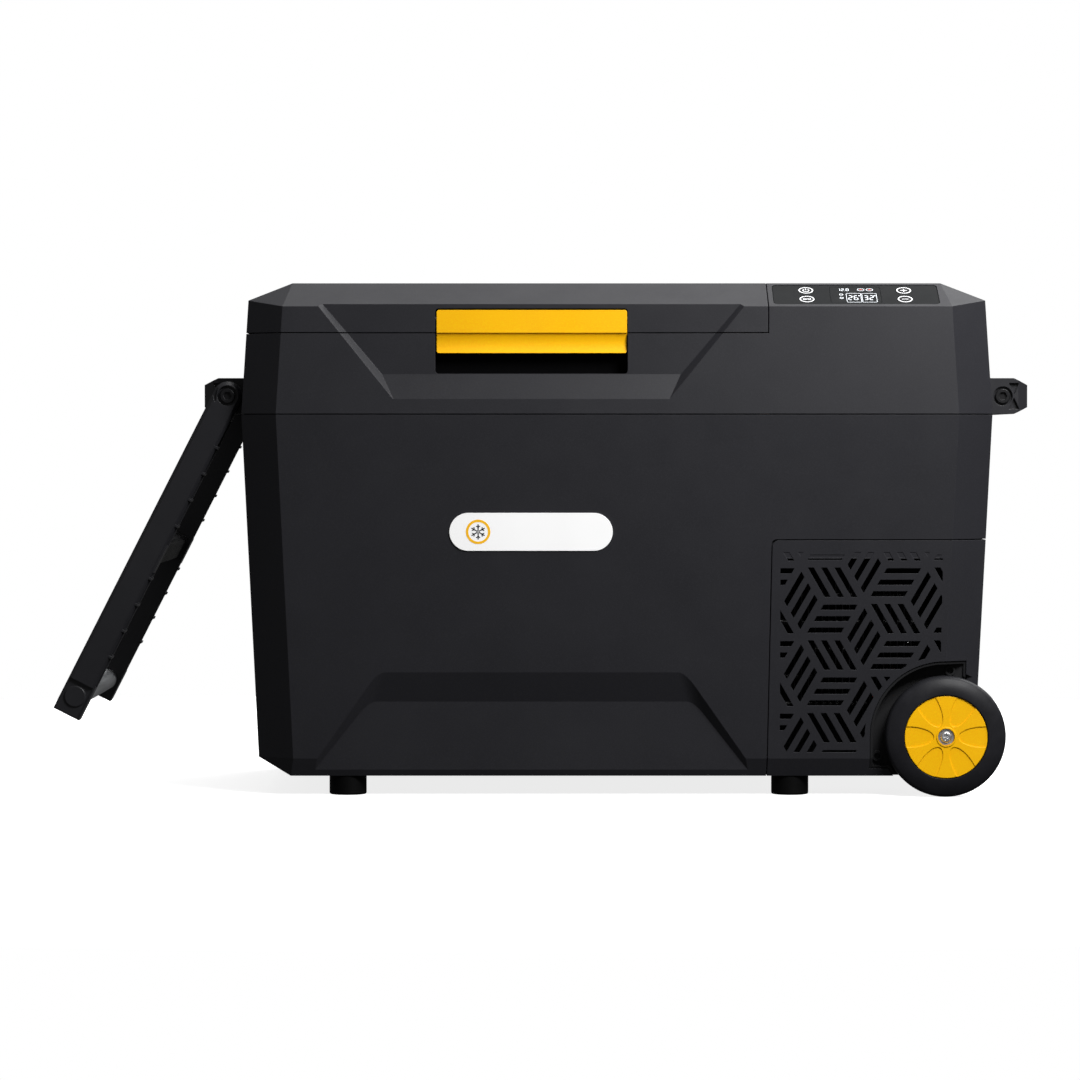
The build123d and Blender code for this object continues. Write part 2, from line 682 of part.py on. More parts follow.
# ---------------------------------------------------------------- cooling machine
def make_compressor():
    x, y = COMPRESSOR
    low, high = COMPRESSOR_Z
    can = rod(x, y, (low + high) / 2, COMPRESSOR_R, high - low, "Z")
    can = fillet(can.edges().filter_by(GeomType.CIRCLE), 16)
    can += rod(x, y, low + 62, COMPRESSOR_R + 1.6, 5, "Z")
    for foot_x, foot_y in COMPRESSOR_FEET:
        can += rod(foot_x, foot_y, low - 1, 9, 2, "Z")
    can += rod(x, y, low - 0.5 + 4, 38, 9, "Z")
    for foot_x, foot_y in COMPRESSOR_FEET:
        can -= rod(foot_x, foot_y, low, 3.1, 8, "Z")
    return can


def make_compressor_mounts():
    mounts = []
    for x, y in COMPRESSOR_FEET:
        mounts.append(tube(x, y, 27, 8, 2.2, 10, "Z"))
    return mounts


CONDENSER_X = (148.0, 266.0)
CONDENSER_Y = -136.0
CONDENSER_ROWS = (78.0, 102.0, 126.0, 150.0, 174.0)
CONDENSER_R = 3.0


def make_condenser_coil():
    x0, x1 = CONDENSER_X
    coil = None
    for index, z in enumerate(CONDENSER_ROWS):
        run = rod((x0 + x1) / 2, CONDENSER_Y, z, CONDENSER_R, x1 - x0, "X")
        coil = run if coil is None else coil + run
        if index + 1 < len(CONDENSER_ROWS):
            gap = CONDENSER_ROWS[index + 1] - z
            end = x1 if index % 2 == 0 else x0
            bend = Pos(end, CONDENSER_Y, z + gap / 2) * Rot(90, 0, 0) * Torus(gap / 2, CONDENSER_R)
            side = block(end, end + (40 if index % 2 == 0 else -40), -200, 0, z - 10, z + gap + 10)
            coil += bend & side
    return coil


def make_condenser_fins():
    fins = []
    for index in range(18):
        x = CONDENSER_X[0] + 8 + index * 6
        low, high = CONDENSER_ROWS[0] - 11, CONDENSER_ROWS[-1] + 11
        fin = block(x, x + 0.8, CONDENSER_Y - 11, CONDENSER_Y + 11, low, high)
        for z in CONDENSER_ROWS:
            fin -= rod(x, CONDENSER_Y, z, CONDENSER_R + 0.05, 10, "X")
        fins.append(fin)
    return fins


def make_fan_shroud():
    x, y, z = FAN
    shroud = block(x - 60, x + 60, y - 11, y + 11, z - 60, z + 60)
    shroud += block(BULKHEAD_X + 1.5, WHEEL_X - 12, y - 1, y + 1, 31, Z_COVER_TOP - 8)
    shroud -= rod(x, y, z, FAN_R + 2, 30)
    for angle in (45, 165, 285):
        strut = Pos(x, y + 8.5, z) * Rot(0, angle, 0) * Pos(30, 0, 0) * Box(58, 3, 5)
        shroud += strut
    shroud += rod(x, y + 8.5, z, 16, 4)
    shroud -= rod(x, y + 8, z, 6, 30)
    return shroud


def make_fan_motor():
    x, y, z = FAN
    motor = rod(x, y + 8.5, z, 5.9, 4)
    motor += rod(x, y + 2.5, z, 2.0, 15)
    return motor


def make_fan_rotor():
    x, y, z = FAN
    rotor = rod(x, y - 2, z, 17, 14)
    for index in range(7):
        blade = Rot(0, index * 360 / 7, 0) * Pos(34, 0, 0) * Rot(32, 0, 0) * Box(38, 1.6, 21)
        rotor += Pos(x, y - 2, z) * blade
    rotor &= rod(x, y - 2, z, FAN_R, 14)
    return rotor - rod(x, y, z, 2.05, 40)


def make_filter_drier():
    return rod(*DRIER, 110, 9, 60, "Z") + rod(*DRIER, 110, 3, 84, "Z")


def make_refrigerant_pipes():
    """The suction and discharge pipes, in straight runs with round bends."""
    x, y = COMPRESSOR
    top = COMPRESSOR_Z[1] + 0.2
    routes = (
        [(x, y, top), (x, y, PIPE_LEVEL), (x, 0, PIPE_LEVEL), (98.5, 0, PIPE_LEVEL)],
        [(x + 18, y + 16, top), (x + 18, y + 16, 200), (*DRIER, 200), (*DRIER, 152.2)],
    )
    pipes = []
    for route in routes:
        path = FilletPolyline(*route, radius=11)
        start = Plane(origin=path @ 0, z_dir=path % 0)
        pipes.append(sweep(start * Circle(2.5), path=path))
    return pipes


def make_power_board():
    board = block(150, 290, 96, 97.6, 236, 320)
    board += block(160, 190, 80, 96.2, 245, 285)
    board += block(205, 225, 84, 96.2, 250, 262)
    for x in (240, 256, 272):
        board += rod(x, 88, 300, 6, 17)
    return board


def make_dc_inlet():
    x, z = INLET
    face_y = wall_y(z)
    inlet = rod(x, face_y - 8, z, 9.0, 26)
    inlet += rod(x, face_y + 2.4, z, 12.5, 3.6)
    inlet -= LOWER_OUT - rod(x, face_y, z, 9.0, 80)
    inlet -= rod(x, face_y, z, 6.0, 16)
    for side in (-1, 1):
        inlet += rod(x + side * 2.4, face_y - 6, z, 1.0, 9)
    return inlet


# ---------------------------------------------------------------- lid
LID_RIGHT = LID_END_X - SEAM / 2
LID_LOW = Z_LID_SEAM + SEAM / 2
LATCH_PIN = (-171.6, 416.2)
LATCH_PIN_R = 1.5
KEEPER_FRONT = POCKET_BACK - 3.2


def make_lid_shell():
    body = block(-400, LID_RIGHT, -250, 250, LID_LOW, 470)
    lid = (UPPER_SKIN_OUT - UPPER_SKIN_IN) & body
    lid += UPPER_SKIN_IN & block(LID_RIGHT - WALL, LID_RIGHT, -250, 250, LID_LOW, 470)
    pin_middle = (POCKET_X[0] + POCKET_X[1]) / 2
    lid -= rod(pin_middle, *LATCH_PIN, LATCH_PIN_R, POCKET_X[1] - POCKET_X[0] + 5, "X")
    return lid


def make_lid_liner():
    plate = upper_form(WALL + 0.2, 404.6, 407.1) & block(-400, LID_RIGHT - WALL - 0.2, -250, 250, 0, 500)
    plate -= latch_recess(WALL + 0.3)
    plate -= latch_pocket(WALL + 0.3)
    liner = plate + tub_form(-4, 388, 405)
    return liner - tub_form(-6.5, 390.5, 410)


def make_lid_foam():
    foam = UPPER_SKIN_IN & block(-400, LID_RIGHT - WALL, -250, 250, 407.1, 470)
    return foam + tub_form(-6.5, 390.5, 408)


def make_lid_seal():
    return tub_form(12, 400.6, 404.5) - tub_form(4, 390, 410)


# ---------------------------------------------------------------- latch
def latch_profile(x0, x1, points):
    """A bar along X with a given outline in side view (y, z)."""
    face = make_face(Polyline(*points, close=True))
    return Pos(x0, 0, 0) * extrude(Plane.YZ * face, x1 - x0)


def make_latch_handle():
    low, high = LATCH_Z
    rounded = fillet(block(*LATCH_X, -200, -100, low, high).edges().filter_by(Axis.Y), 2)
    front = -176.0
    upper = [(front, high), (front - 0.3, Z_LID_SEAM), (front + 3.4, Z_LID_SEAM), (front + 3.6, high)]
    lower = [
        (front + 0.9, Z_LID_SEAM),
        (front + 0.9, low),
        (front + 4.6, low),
        (front + 6.2, low + 4),
        (front + 6.2, Z_LID_SEAM + 1),
        (front + 3.0, Z_LID_SEAM + 1),
    ]
    middle = (LATCH_X[0] + LATCH_X[1]) / 2
    cove_r = (Z_LID_SEAM - low) ** 2 / (8 * COVE_DEPTH) + COVE_DEPTH / 2
    cove = rod(middle, front + 0.9 + COVE_DEPTH - cove_r, (low + Z_LID_SEAM) / 2, cove_r, 200, "X")
    latch = latch_profile(*LATCH_X, upper) + (latch_profile(*LATCH_X, lower) - cove)
    latch = latch & rounded
    pin_y, pin_z = LATCH_PIN
    for offset in (-70, -22, 22, 70):
        latch += rod(middle + offset, pin_y, pin_z, 3.4, 14, "X")
    hook = [
        (pin_y + 0.6, pin_z + 2),
        (pin_y + 0.6, 391.0),
        (KEEPER_FRONT - 0.2, 391.0),
        (KEEPER_FRONT - 0.2, 394.6),
        (pin_y + 3.6, 397.0),
        (pin_y + 3.6, pin_z - 1),
    ]
    for offset in (-22, 22):
        latch += latch_profile(middle + offset - 7, middle + offset + 7, hook)
    latch -= rod(middle, pin_y, pin_z, 3.2, 13, "X")
    return latch - rod(middle, pin_y, pin_z, LATCH_PIN_R + 0.05, 200, "X")


def make_latch_keeper():
    middle = (LATCH_X[0] + LATCH_X[1]) / 2
    keeper = block(middle - 34, middle + 34, POCKET_BACK - 1.6, POCKET_BACK - 0.05, 386, 402)
    return keeper + block(middle - 32, middle + 32, KEEPER_FRONT, POCKET_BACK - 1, 397.5, 400)


def make_latch_pin():
    middle = (POCKET_X[0] + POCKET_X[1]) / 2
    return rod(middle, *LATCH_PIN, LATCH_PIN_R, POCKET_X[1] - POCKET_X[0] + 5, "X")


def make_latch_spring():
    """A torsion spring wound round the latch pin between the two middle bosses."""
    pin_y, pin_z = LATCH_PIN
    middle = (LATCH_X[0] + LATCH_X[1]) / 2
    path = Helix(pitch=1.3, height=9.1, radius=2.35)
    start = Plane(origin=path @ 0, z_dir=path % 0)
    coil = sweep(start * Circle(0.42), path=path)
    return Pos(middle - 4.5, pin_y, pin_z) * Rot(0, 90, 0) * coil


# ---------------------------------------------------------------- lid hinges
KNUCKLE = 15.0


def make_hinge_brackets():
    brackets = []
    for x in HINGE_PLACES:
        plate = block(x - 25, x + 25, HINGE_Y - 7, HINGE_Y - 2.3, HINGE_Z - 24, HINGE_Z - 0.5)
        plate -= block(x - KNUCKLE / 2 - 0.4, x + KNUCKLE / 2 + 0.4, 150, 200, HINGE_Z - 6, HINGE_Z + 1)
        bracket = plate
        for s in (-1, 1):
            bracket += rod(x + s * (KNUCKLE + 0.8), HINGE_Y, HINGE_Z, HINGE_R, KNUCKLE, "X")
        bracket -= UPPER_OUT
        brackets.append(bracket - rod(x, HINGE_Y, HINGE_Z, 2.05, 60, "X"))
    return brackets


def make_lid_hinge_leaves():
    leaves = []
    for x in HINGE_PLACES:
        leaf = block(x - 22, x + 22, HINGE_Y - 8, HINGE_Y - 3.0, HINGE_Z + 5.4, HINGE_Z + 21)
        leaf += block(x - KNUCKLE / 2, x + KNUCKLE / 2, HINGE_Y - 8, HINGE_Y - 1, HINGE_Z + 0.6, HINGE_Z + 8)
        leaf += rod(x, HINGE_Y, HINGE_Z, HINGE_R, KNUCKLE, "X")
        leaf -= UPPER_OUT
        leaf = leaf.solids().sort_by(SortBy.VOLUME)[-1]
        leaves.append(leaf - rod(x, HINGE_Y, HINGE_Z, 2.05, 60, "X"))
    return leaves


def make_hinge_pins():
    return [rod(x, HINGE_Y, HINGE_Z, 2.0, 3 * KNUCKLE + 3, "X") for x in HINGE_PLACES]


# ---------------------------------------------------------------- end handles
def make_side_handle(end):
    """A carrying handle: two arms with a bolt boss each and a grip bar, chamfered at its corners."""
    low, high = HANDLE_Z_LOW, HANDLE_Z_HIGH
    reach = HANDLE_REACH
    profile = Polyline(
        (320, low),
        (reach - 13, low),
        (reach, low + 6),
        (reach, high - 6),
        (reach - 13, high),
        (320, high),
        close=True,
    )
    plan = Polyline(
        (320, -HANDLE_HALF),
        (reach - 9, -HANDLE_HALF),
        (reach, -HANDLE_HALF + 11),
        (reach, HANDLE_HALF - 11),
        (reach - 9, HANDLE_HALF),
        (320, HANDLE_HALF),
        close=True,
    )
    handle = extrude(Plane.XZ * make_face(profile), 200, both=True) & extrude(make_face(plan), 500)
    gap = Polyline((300, -HANDLE_GAP), (reach - 19, -HANDLE_GAP), (reach - 15, -HANDLE_GAP + 6),
                   (reach - 15, HANDLE_GAP - 6), (reach - 19, HANDLE_GAP), (300, HANDLE_GAP), close=True)
    handle -= extrude(make_face(gap), 500)
    bolt_x = -PIVOT_X
    for s in FRONT_REAR:
        handle -= rod(bolt_x, s * HANDLE_HALF, PIVOT_Z, 8.5, 7.6)
        handle -= rod(bolt_x, s * (HANDLE_HALF - 10), PIVOT_Z, 4.1, 60)
        for corner in notch_corners(bolt_x):
            face = make_face(Polyline(*corner, close=True))
            notch = extrude(Plane.XZ * face, 300, both=True)
            handle -= notch & block(300, 400, *sorted((s * (HANDLE_HALF - 4), s * 200)), low, high)
    handle -= LOWER_OUT
    handle -= upper_form(0, Z_MID_SEAM - 0.1)
    for s in FRONT_REAR:
        handle -= rod(HANDLE_SCREW_X, s * 112, HANDLE_SCREW_Z, 2.2, 22, "X")
    return handle if end > 0 else mirror(handle, about=Plane.YZ)


def notch_corners(bolt_x):
    """The two triangular pockets beside the bolt, in front view."""
    return (
        ((bolt_x + 9.8, PIVOT_Z + 1.2), (bolt_x + 14.5, PIVOT_Z + 11.5), (bolt_x + 5.2, PIVOT_Z + 11.5)),
        ((bolt_x + 9.8, PIVOT_Z - 1.2), (bolt_x + 5.2, PIVOT_Z - 11.5), (bolt_x + 14.5, PIVOT_Z - 11.5)),
    )


def hex_bolt(head_at, tip_at, head_r, shank_r, socket, head_thick):
    """A socket-head bolt along Y; the head is at one end and the tip at the other."""
    way = 1 if tip_at > head_at else -1
    under = head_at + way * head_thick
    bolt = rod(0, (head_at + under) / 2, 0, head_r, head_thick)
    bolt = chamfer(bolt.edges().filter_by(GeomType.CIRCLE), 0.6)
    bolt += rod(0, (under + tip_at) / 2, 0, shank_r, abs(tip_at - under))
    hexagon = extrude(RegularPolygon(socket / 2 / cos(radians(30)), 6), 2.6, both=True)
    recess = Pos(0, head_at, 0) * Rot(90, 0, 0) * hexagon
    return bolt - recess


def make_handle_bolts():
    """Four socket-head bolts: two hold the tow arms to the left bracket, two close the right one."""
    bolts = []
    for s in FRONT_REAR:
        tip = s * (HANDLE_HALF - 27)
        pivot = hex_bolt(s * (TOW_ARM_OUT - 0.6), tip, 6.65, 4.05, 6.6, 3.6)
        bolts.append(Pos(PIVOT_X, 0, PIVOT_Z) * pivot)
        plain = hex_bolt(s * (HANDLE_HALF - 0.4), tip, 6.65, 4.05, 6.6, 3.3)
        bolts.append(Pos(-PIVOT_X, 0, PIVOT_Z) * plain)
    return bolts


def make_handle_screws():
    screws = []
    for end in (-1, 1):
        for s in FRONT_REAR:
            x_in = wall_x(HANDLE_SCREW_Z) - WALL
            head = rod(end * (x_in - 2.2), s * 112, HANDLE_SCREW_Z, 4.5, 3, "X")
            shank = rod(end * (x_in + 5), s * 112, HANDLE_SCREW_Z, 2.1, 12, "X")
            screws.append(head + shank)
    return screws


# ---------------------------------------------------------------- tow handle, built hanging from its pivot
def hung(shape):
    """Swings a piece of the tow handle out to its rest angle and puts it on its pivot."""
    return Pos(PIVOT_X, 0, PIVOT_Z) * Rot(0, TOW_ANGLE, 0) * shape


RIB_PITCH = 25.8
TOW_HALF = TOW_WIDTH / 2
GRIP_RECESS = 3.0
GRIP_SOCKET = TOW_ARM_OUT - GRIP_RECESS - 3.0


def make_tow_arm(s):
    """A channel that opens towards the casing, with cross ribs, a round pivot end and a square grip end."""
    y0, y1 = sorted((s * TOW_ARM_IN, s * TOW_ARM_OUT))
    arm = block(-TOW_HALF, TOW_HALF, y0, y1, -TOW_LENGTH, 0)
    arm += rod(0, (y0 + y1) / 2, 0, TOW_HALF, y1 - y0)
    long_edges = arm.edges().filter_by(Axis.Z)
    back_edges = [e for e in long_edges if e.center().X < 0 and abs(e.center().Y) > TOW_ARM_IN + 5]
    arm = chamfer(back_edges, 3)
    start, stop = 19.0, GRIP_AT - 14.0
    arm -= block(-TOW_HALF + 3, TOW_HALF + 1, y0 + 2.6, y1 - 2.6, -stop, -start)
    level = start + RIB_PITCH
    while level < stop - 5:
        if abs(level - CROSSBAR_AT) > 14:
            arm += block(-TOW_HALF + 2, TOW_HALF + 0.9, y0 + 0.8, y1 - 0.8, -level - 1.1, -level + 1.1)
        level += RIB_PITCH
    arm += block(-TOW_HALF + 2, TOW_HALF, y0 + 2, y1 - 2, -CROSSBAR_AT - 13, -CROSSBAR_AT + 13)
    arm -= rod(0, s * 130, 0, 4.1, 60)
    arm -= rod(0, s * TOW_ARM_OUT, 0, 8.85, 9)
    notch = Polyline((-11, 4), (-7, -9.5), (-11.2, -6), close=True)
    notch_room = block(-20, 20, *sorted((s * (TOW_ARM_OUT - 2), s * 200)), -20, 20)
    arm -= extrude(Plane.XZ * make_face(notch), 400, both=True) & notch_room
    sunk = s * (TOW_ARM_OUT - GRIP_RECESS)
    arm -= block(-TOW_HALF + 1.3, TOW_HALF - 1.3, *sorted((sunk, s * 200)), -400, -GRIP_AT + 13.5)
    boss = rod(0, sunk, -GRIP_AT, GRIP_R, 3.2)
    arm += fillet(boss.edges().filter_by(GeomType.CIRCLE), 1.2)
    arm -= rod(0, s * (GRIP_SOCKET - 30), -GRIP_AT, GRIP_R + 0.05, 60)
    return hung(arm)


def make_tow_crossbar():
    """The fluted bar between the arms."""
    length = 2 * TOW_ARM_IN
    bar = Pos(0, 0, -CROSSBAR_AT) * Box(14, length, 19)
    count = 62
    for index in range(count):
        y = -length / 2 + (index + 0.5) * length / count
        flute = extrude(RectangleRounded(16, 21.5, 4), 1.25, both=True)
        bar += Pos(0, y, -CROSSBAR_AT) * Rot(90, 0, 0) * flute
    for s in FRONT_REAR:
        end = extrude(RectangleRounded(19, 25, 4), 2.5, both=True)
        bar += Pos(0, s * (length / 2 - 2.5), -CROSSBAR_AT) * Rot(90, 0, 0) * end
    return hung(bar)


def make_tow_grip_tube():
    return hung(tube(0, 0, -GRIP_AT, GRIP_R, GRIP_R - 1.3, 2 * (GRIP_SOCKET - 0.1)))


# ---------------------------------------------------------------- wheels
SIDEWALL_FALL = 3.2
SHOULDER = 7.6


def make_tyre(s):
    """A solid tyre whose side walls fall away from the rim and roll into the tread."""
    half = WHEEL_WIDTH / 2
    bore = HUB_R + 0.6
    tread = half - SHOULDER
    outline = [Line((bore, -half), (bore, half)), Line((WHEEL_R, tread), (WHEEL_R, -tread))]
    for side in (-1, 1):
        rim = (bore, side * half)
        swell = (bore + 6.6, side * (half - 0.9))
        wall_end = (WHEEL_R - SIDEWALL_FALL, side * (half - SIDEWALL_FALL))
        roll = (WHEEL_R - 0.9, side * (half - 5.0))
        outline.append(ThreePointArc(rim, swell, wall_end))
        outline.append(ThreePointArc(wall_end, roll, (WHEEL_R, side * tread)))
    tyre = revolve(make_face(outline), Axis.Y)
    return Pos(WHEEL_X, s * (WHEEL_OUT - half), WHEEL_Z) * tyre


PETAL_COUNT = 6
HUB_FACE = WHEEL_OUT - 0.8


def make_hub(s):
    """The wheel disc with six sunk petals, a ring boss and a counterbore for the screw."""
    inner = WHEEL_OUT - WHEEL_WIDTH
    hub = rod(WHEEL_X, s * (HUB_FACE + inner) / 2, WHEEL_Z, HUB_R, HUB_FACE - inner)
    hub = fillet(hub.edges().filter_by(GeomType.CIRCLE), 0.8)
    hub += rod(WHEEL_X, s * (inner + 10), WHEEL_Z, HUB_R + 0.55, 14)
    hub -= tube(WHEEL_X, s * (inner + 4), WHEEL_Z, HUB_R - 4, 12, 24)
    for index in range(PETAL_COUNT):
        petal = Pos(33.0, 0, 0) * extrude(Ellipse(22.3, 9.1), 0.7, both=True)
        hub -= Pos(WHEEL_X, s * HUB_FACE, WHEEL_Z) * Rot(90, 0, 0) * Rot(0, 0, 60 * index) * petal
    hub += rod(WHEEL_X, s * (HUB_FACE - 1), WHEEL_Z, 8.5, 3.2)
    hub -= rod(WHEEL_X, s * WHEEL_OUT, WHEEL_Z, 7.3, 5.6)
    return hub - rod(WHEEL_X, s * 175, WHEEL_Z, AXLE_R + 0.05, 60)


def make_wheel_axle():
    axle = rod(WHEEL_X, 0, WHEEL_Z, AXLE_R, 2 * (WHEEL_OUT - 2.7))
    for s in FRONT_REAR:
        axle -= rod(WHEEL_X, s * WHEEL_OUT, WHEEL_Z, 2.5, 40)
    return axle


def make_axle_screws():
    screws = []
    for s in FRONT_REAR:
        seat = WHEEL_OUT - 2.7
        head = rod(0, s * (seat + 0.35), 0, 7.0, 0.6)
        dome = rod(0, s * (seat + 1.4), 0, 4.7, 2.4)
        rim = dome.edges().filter_by(GeomType.CIRCLE).sort_by(lambda e: -abs(e.center().Y))[0]
        screw = head + fillet(rim, 1.4) + rod(0, s * (seat - 8), 0, 2.45, 17)
        for turn in (0, 90):
            slot = Pos(0, s * (seat + 2.6), 0) * Rot(0, turn + 20, 0) * Box(5.6, 2.6, 1.1)
            screw -= slot
        screws.append(Pos(WHEEL_X, 0, WHEEL_Z) * screw)
    return screws


# ---------------------------------------------------------------- feet and badge
def make_foot(x, y):
    foot = rod(x, y, Z_BOTTOM / 2, FOOT_R, Z_BOTTOM, "Z")
    rim = foot.edges().filter_by(GeomType.CIRCLE).sort_by(Axis.Z)[0]
    foot = fillet(rim, 1.6)
    foot += rod(x, y, Z_BOTTOM + 4, 2.9, 9, "Z")
    return foot


BADGE = (-74.9, 230.6)


def make_badge_plate():
    x, z = BADGE
    pill = extrude(Plane.XZ * Pos(x, z) * SlotOverall(142, 33), 300, both=True)
    band = lower_form(-1.2) - LOWER_OUT
    return pill & band & block(-400, 400, -250, -100, 0, 400)


# ---------------------------------------------------------------- writing the nodes
save("lower_shell", make_lower_shell())
save("machine_cover", make_machine_cover())
save("base_pan", make_base_pan())
save("wheel_arch_front", make_wheel_arch(-1))
save("wheel_arch_rear", make_wheel_arch(1))
save("upper_collar", make_upper_collar())
save("control_bezel", make_control_bezel())
save("display_window", make_display_window())
for key, (key_x, key_v) in KEY_PLACES.items():
    save(key, make_key(key_x, key_v))
save("display_board", make_display_board())
save("power_board", make_power_board())
save("dc_inlet", make_dc_inlet())
save("tub_liner", make_tub_liner())
save("tub_foam", make_tub_foam())
save("evaporator_tube", make_evaporator())
save("zone_divider", make_zone_divider())
save("drain_plug", make_drain_plug())
save("interior_lamp", make_interior_lamp())
save("compressor", make_compressor())
save("compressor_mounts", *make_compressor_mounts())
save("condenser_coil", make_condenser_coil())
save("condenser_fins", *make_condenser_fins())
save("fan_shroud", make_fan_shroud())
save("fan_motor", make_fan_motor())
save("fan_rotor", make_fan_rotor())
save("filter_drier", make_filter_drier())
save("refrigerant_pipes", *make_refrigerant_pipes())
save("lid_shell", make_lid_shell())
save("lid_liner", make_lid_liner())
save("lid_foam", make_lid_foam())
save("lid_seal", make_lid_seal())
save("latch_handle", make_latch_handle())
save("latch_keeper", make_latch_keeper())
save("latch_pin", make_latch_pin())
save("latch_spring", make_latch_spring())
save("hinge_brackets", *make_hinge_brackets())
save("lid_hinge_leaves", *make_lid_hinge_leaves())
save("hinge_pins", *make_hinge_pins())
save("side_handle_left", make_side_handle(-1))
save("side_handle_right", make_side_handle(1))
save("handle_bolts", *make_handle_bolts())
save("casing_screws", *make_cover_screws(), *make_handle_screws())
save("tow_crossbar", make_tow_crossbar())
save("tow_grip_tube", make_tow_grip_tube())
save("wheel_axle", make_wheel_axle())
save("axle_screws", *make_axle_screws())
for side, place in zip(FRONT_REAR, ("front", "rear")):
    save(f"tow_arm_{place}", make_tow_arm(side))
    save(f"{place}_tyre", make_tyre(side))
    save(f"{place}_hub", make_hub(side))
for (foot_x, foot_y), place in zip(FOOT_PLACES, ("front_left", "rear_left", "front_right", "rear_right")):
    save(f"foot_{place}", make_foot(foot_x, foot_y))
save("badge_plate", make_badge_plate())
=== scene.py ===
import json
from math import cos, pi, radians, sin

import bmesh
import bpy
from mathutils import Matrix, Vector


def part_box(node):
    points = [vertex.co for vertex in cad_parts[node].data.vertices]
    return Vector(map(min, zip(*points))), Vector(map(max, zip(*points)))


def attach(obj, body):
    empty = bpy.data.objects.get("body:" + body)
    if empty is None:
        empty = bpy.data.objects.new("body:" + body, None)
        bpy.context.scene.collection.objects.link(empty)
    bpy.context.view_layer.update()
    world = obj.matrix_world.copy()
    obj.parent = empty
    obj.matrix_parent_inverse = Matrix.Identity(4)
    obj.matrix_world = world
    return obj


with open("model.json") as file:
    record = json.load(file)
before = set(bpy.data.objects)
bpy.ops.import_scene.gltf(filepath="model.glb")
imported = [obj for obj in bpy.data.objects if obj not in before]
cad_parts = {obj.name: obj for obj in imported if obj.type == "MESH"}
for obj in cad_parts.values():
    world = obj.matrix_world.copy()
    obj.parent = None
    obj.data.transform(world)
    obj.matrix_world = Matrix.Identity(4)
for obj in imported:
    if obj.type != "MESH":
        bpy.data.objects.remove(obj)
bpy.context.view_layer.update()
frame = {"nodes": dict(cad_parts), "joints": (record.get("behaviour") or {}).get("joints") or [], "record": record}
scene = bpy.context.scene
JOINTS = {joint["name"]: joint for joint in frame["joints"]}
MM = 0.001

# The camera: its place, its lens on a sensor 36 mm wide, and its tilt below level in degrees.
CAMERA_PLACE = (-0.0017, -3.885, 0.313)
CAMERA_LENS = 142.1
CAMERA_TILT = 1.384
# The room that lights the object: the bright ceiling, and the dim walls at the left and the right.
CEILING = 1.6
WALL_LEFT, WALL_RIGHT = 0.13, 0.11
# The one lamp, a square in front of the object's upper right.
KEY_PLACE, KEY_AIM = (0.68, -1.0, 1.02), (0.1, 0.0, 0.25)
KEY_SIDE = 0.5
KEY_POWER = 20
FLOOR_HALF = (1.5, 1.3)
FLOOR_LEVEL = -0.0002
FLOOR_SIDES = 96
FLOOR_GLOW = 0.82
# A printed mark starts just off the face that it is on, and ends this far out of it, in metres.
INK_BASE, INK_TOP = 0.00001, 0.00012
# Half the size of a key and of the display window, up the panel, in millimetres.
KEY_HALF, WINDOW_HALF = 7.0, 16.5
# How far the front comes forward per unit of height, at the badge.
BADGE_LEAN = 0.0466
GRAIN_DEPTH = 0.00012
BEVEL_SAMPLES = 4


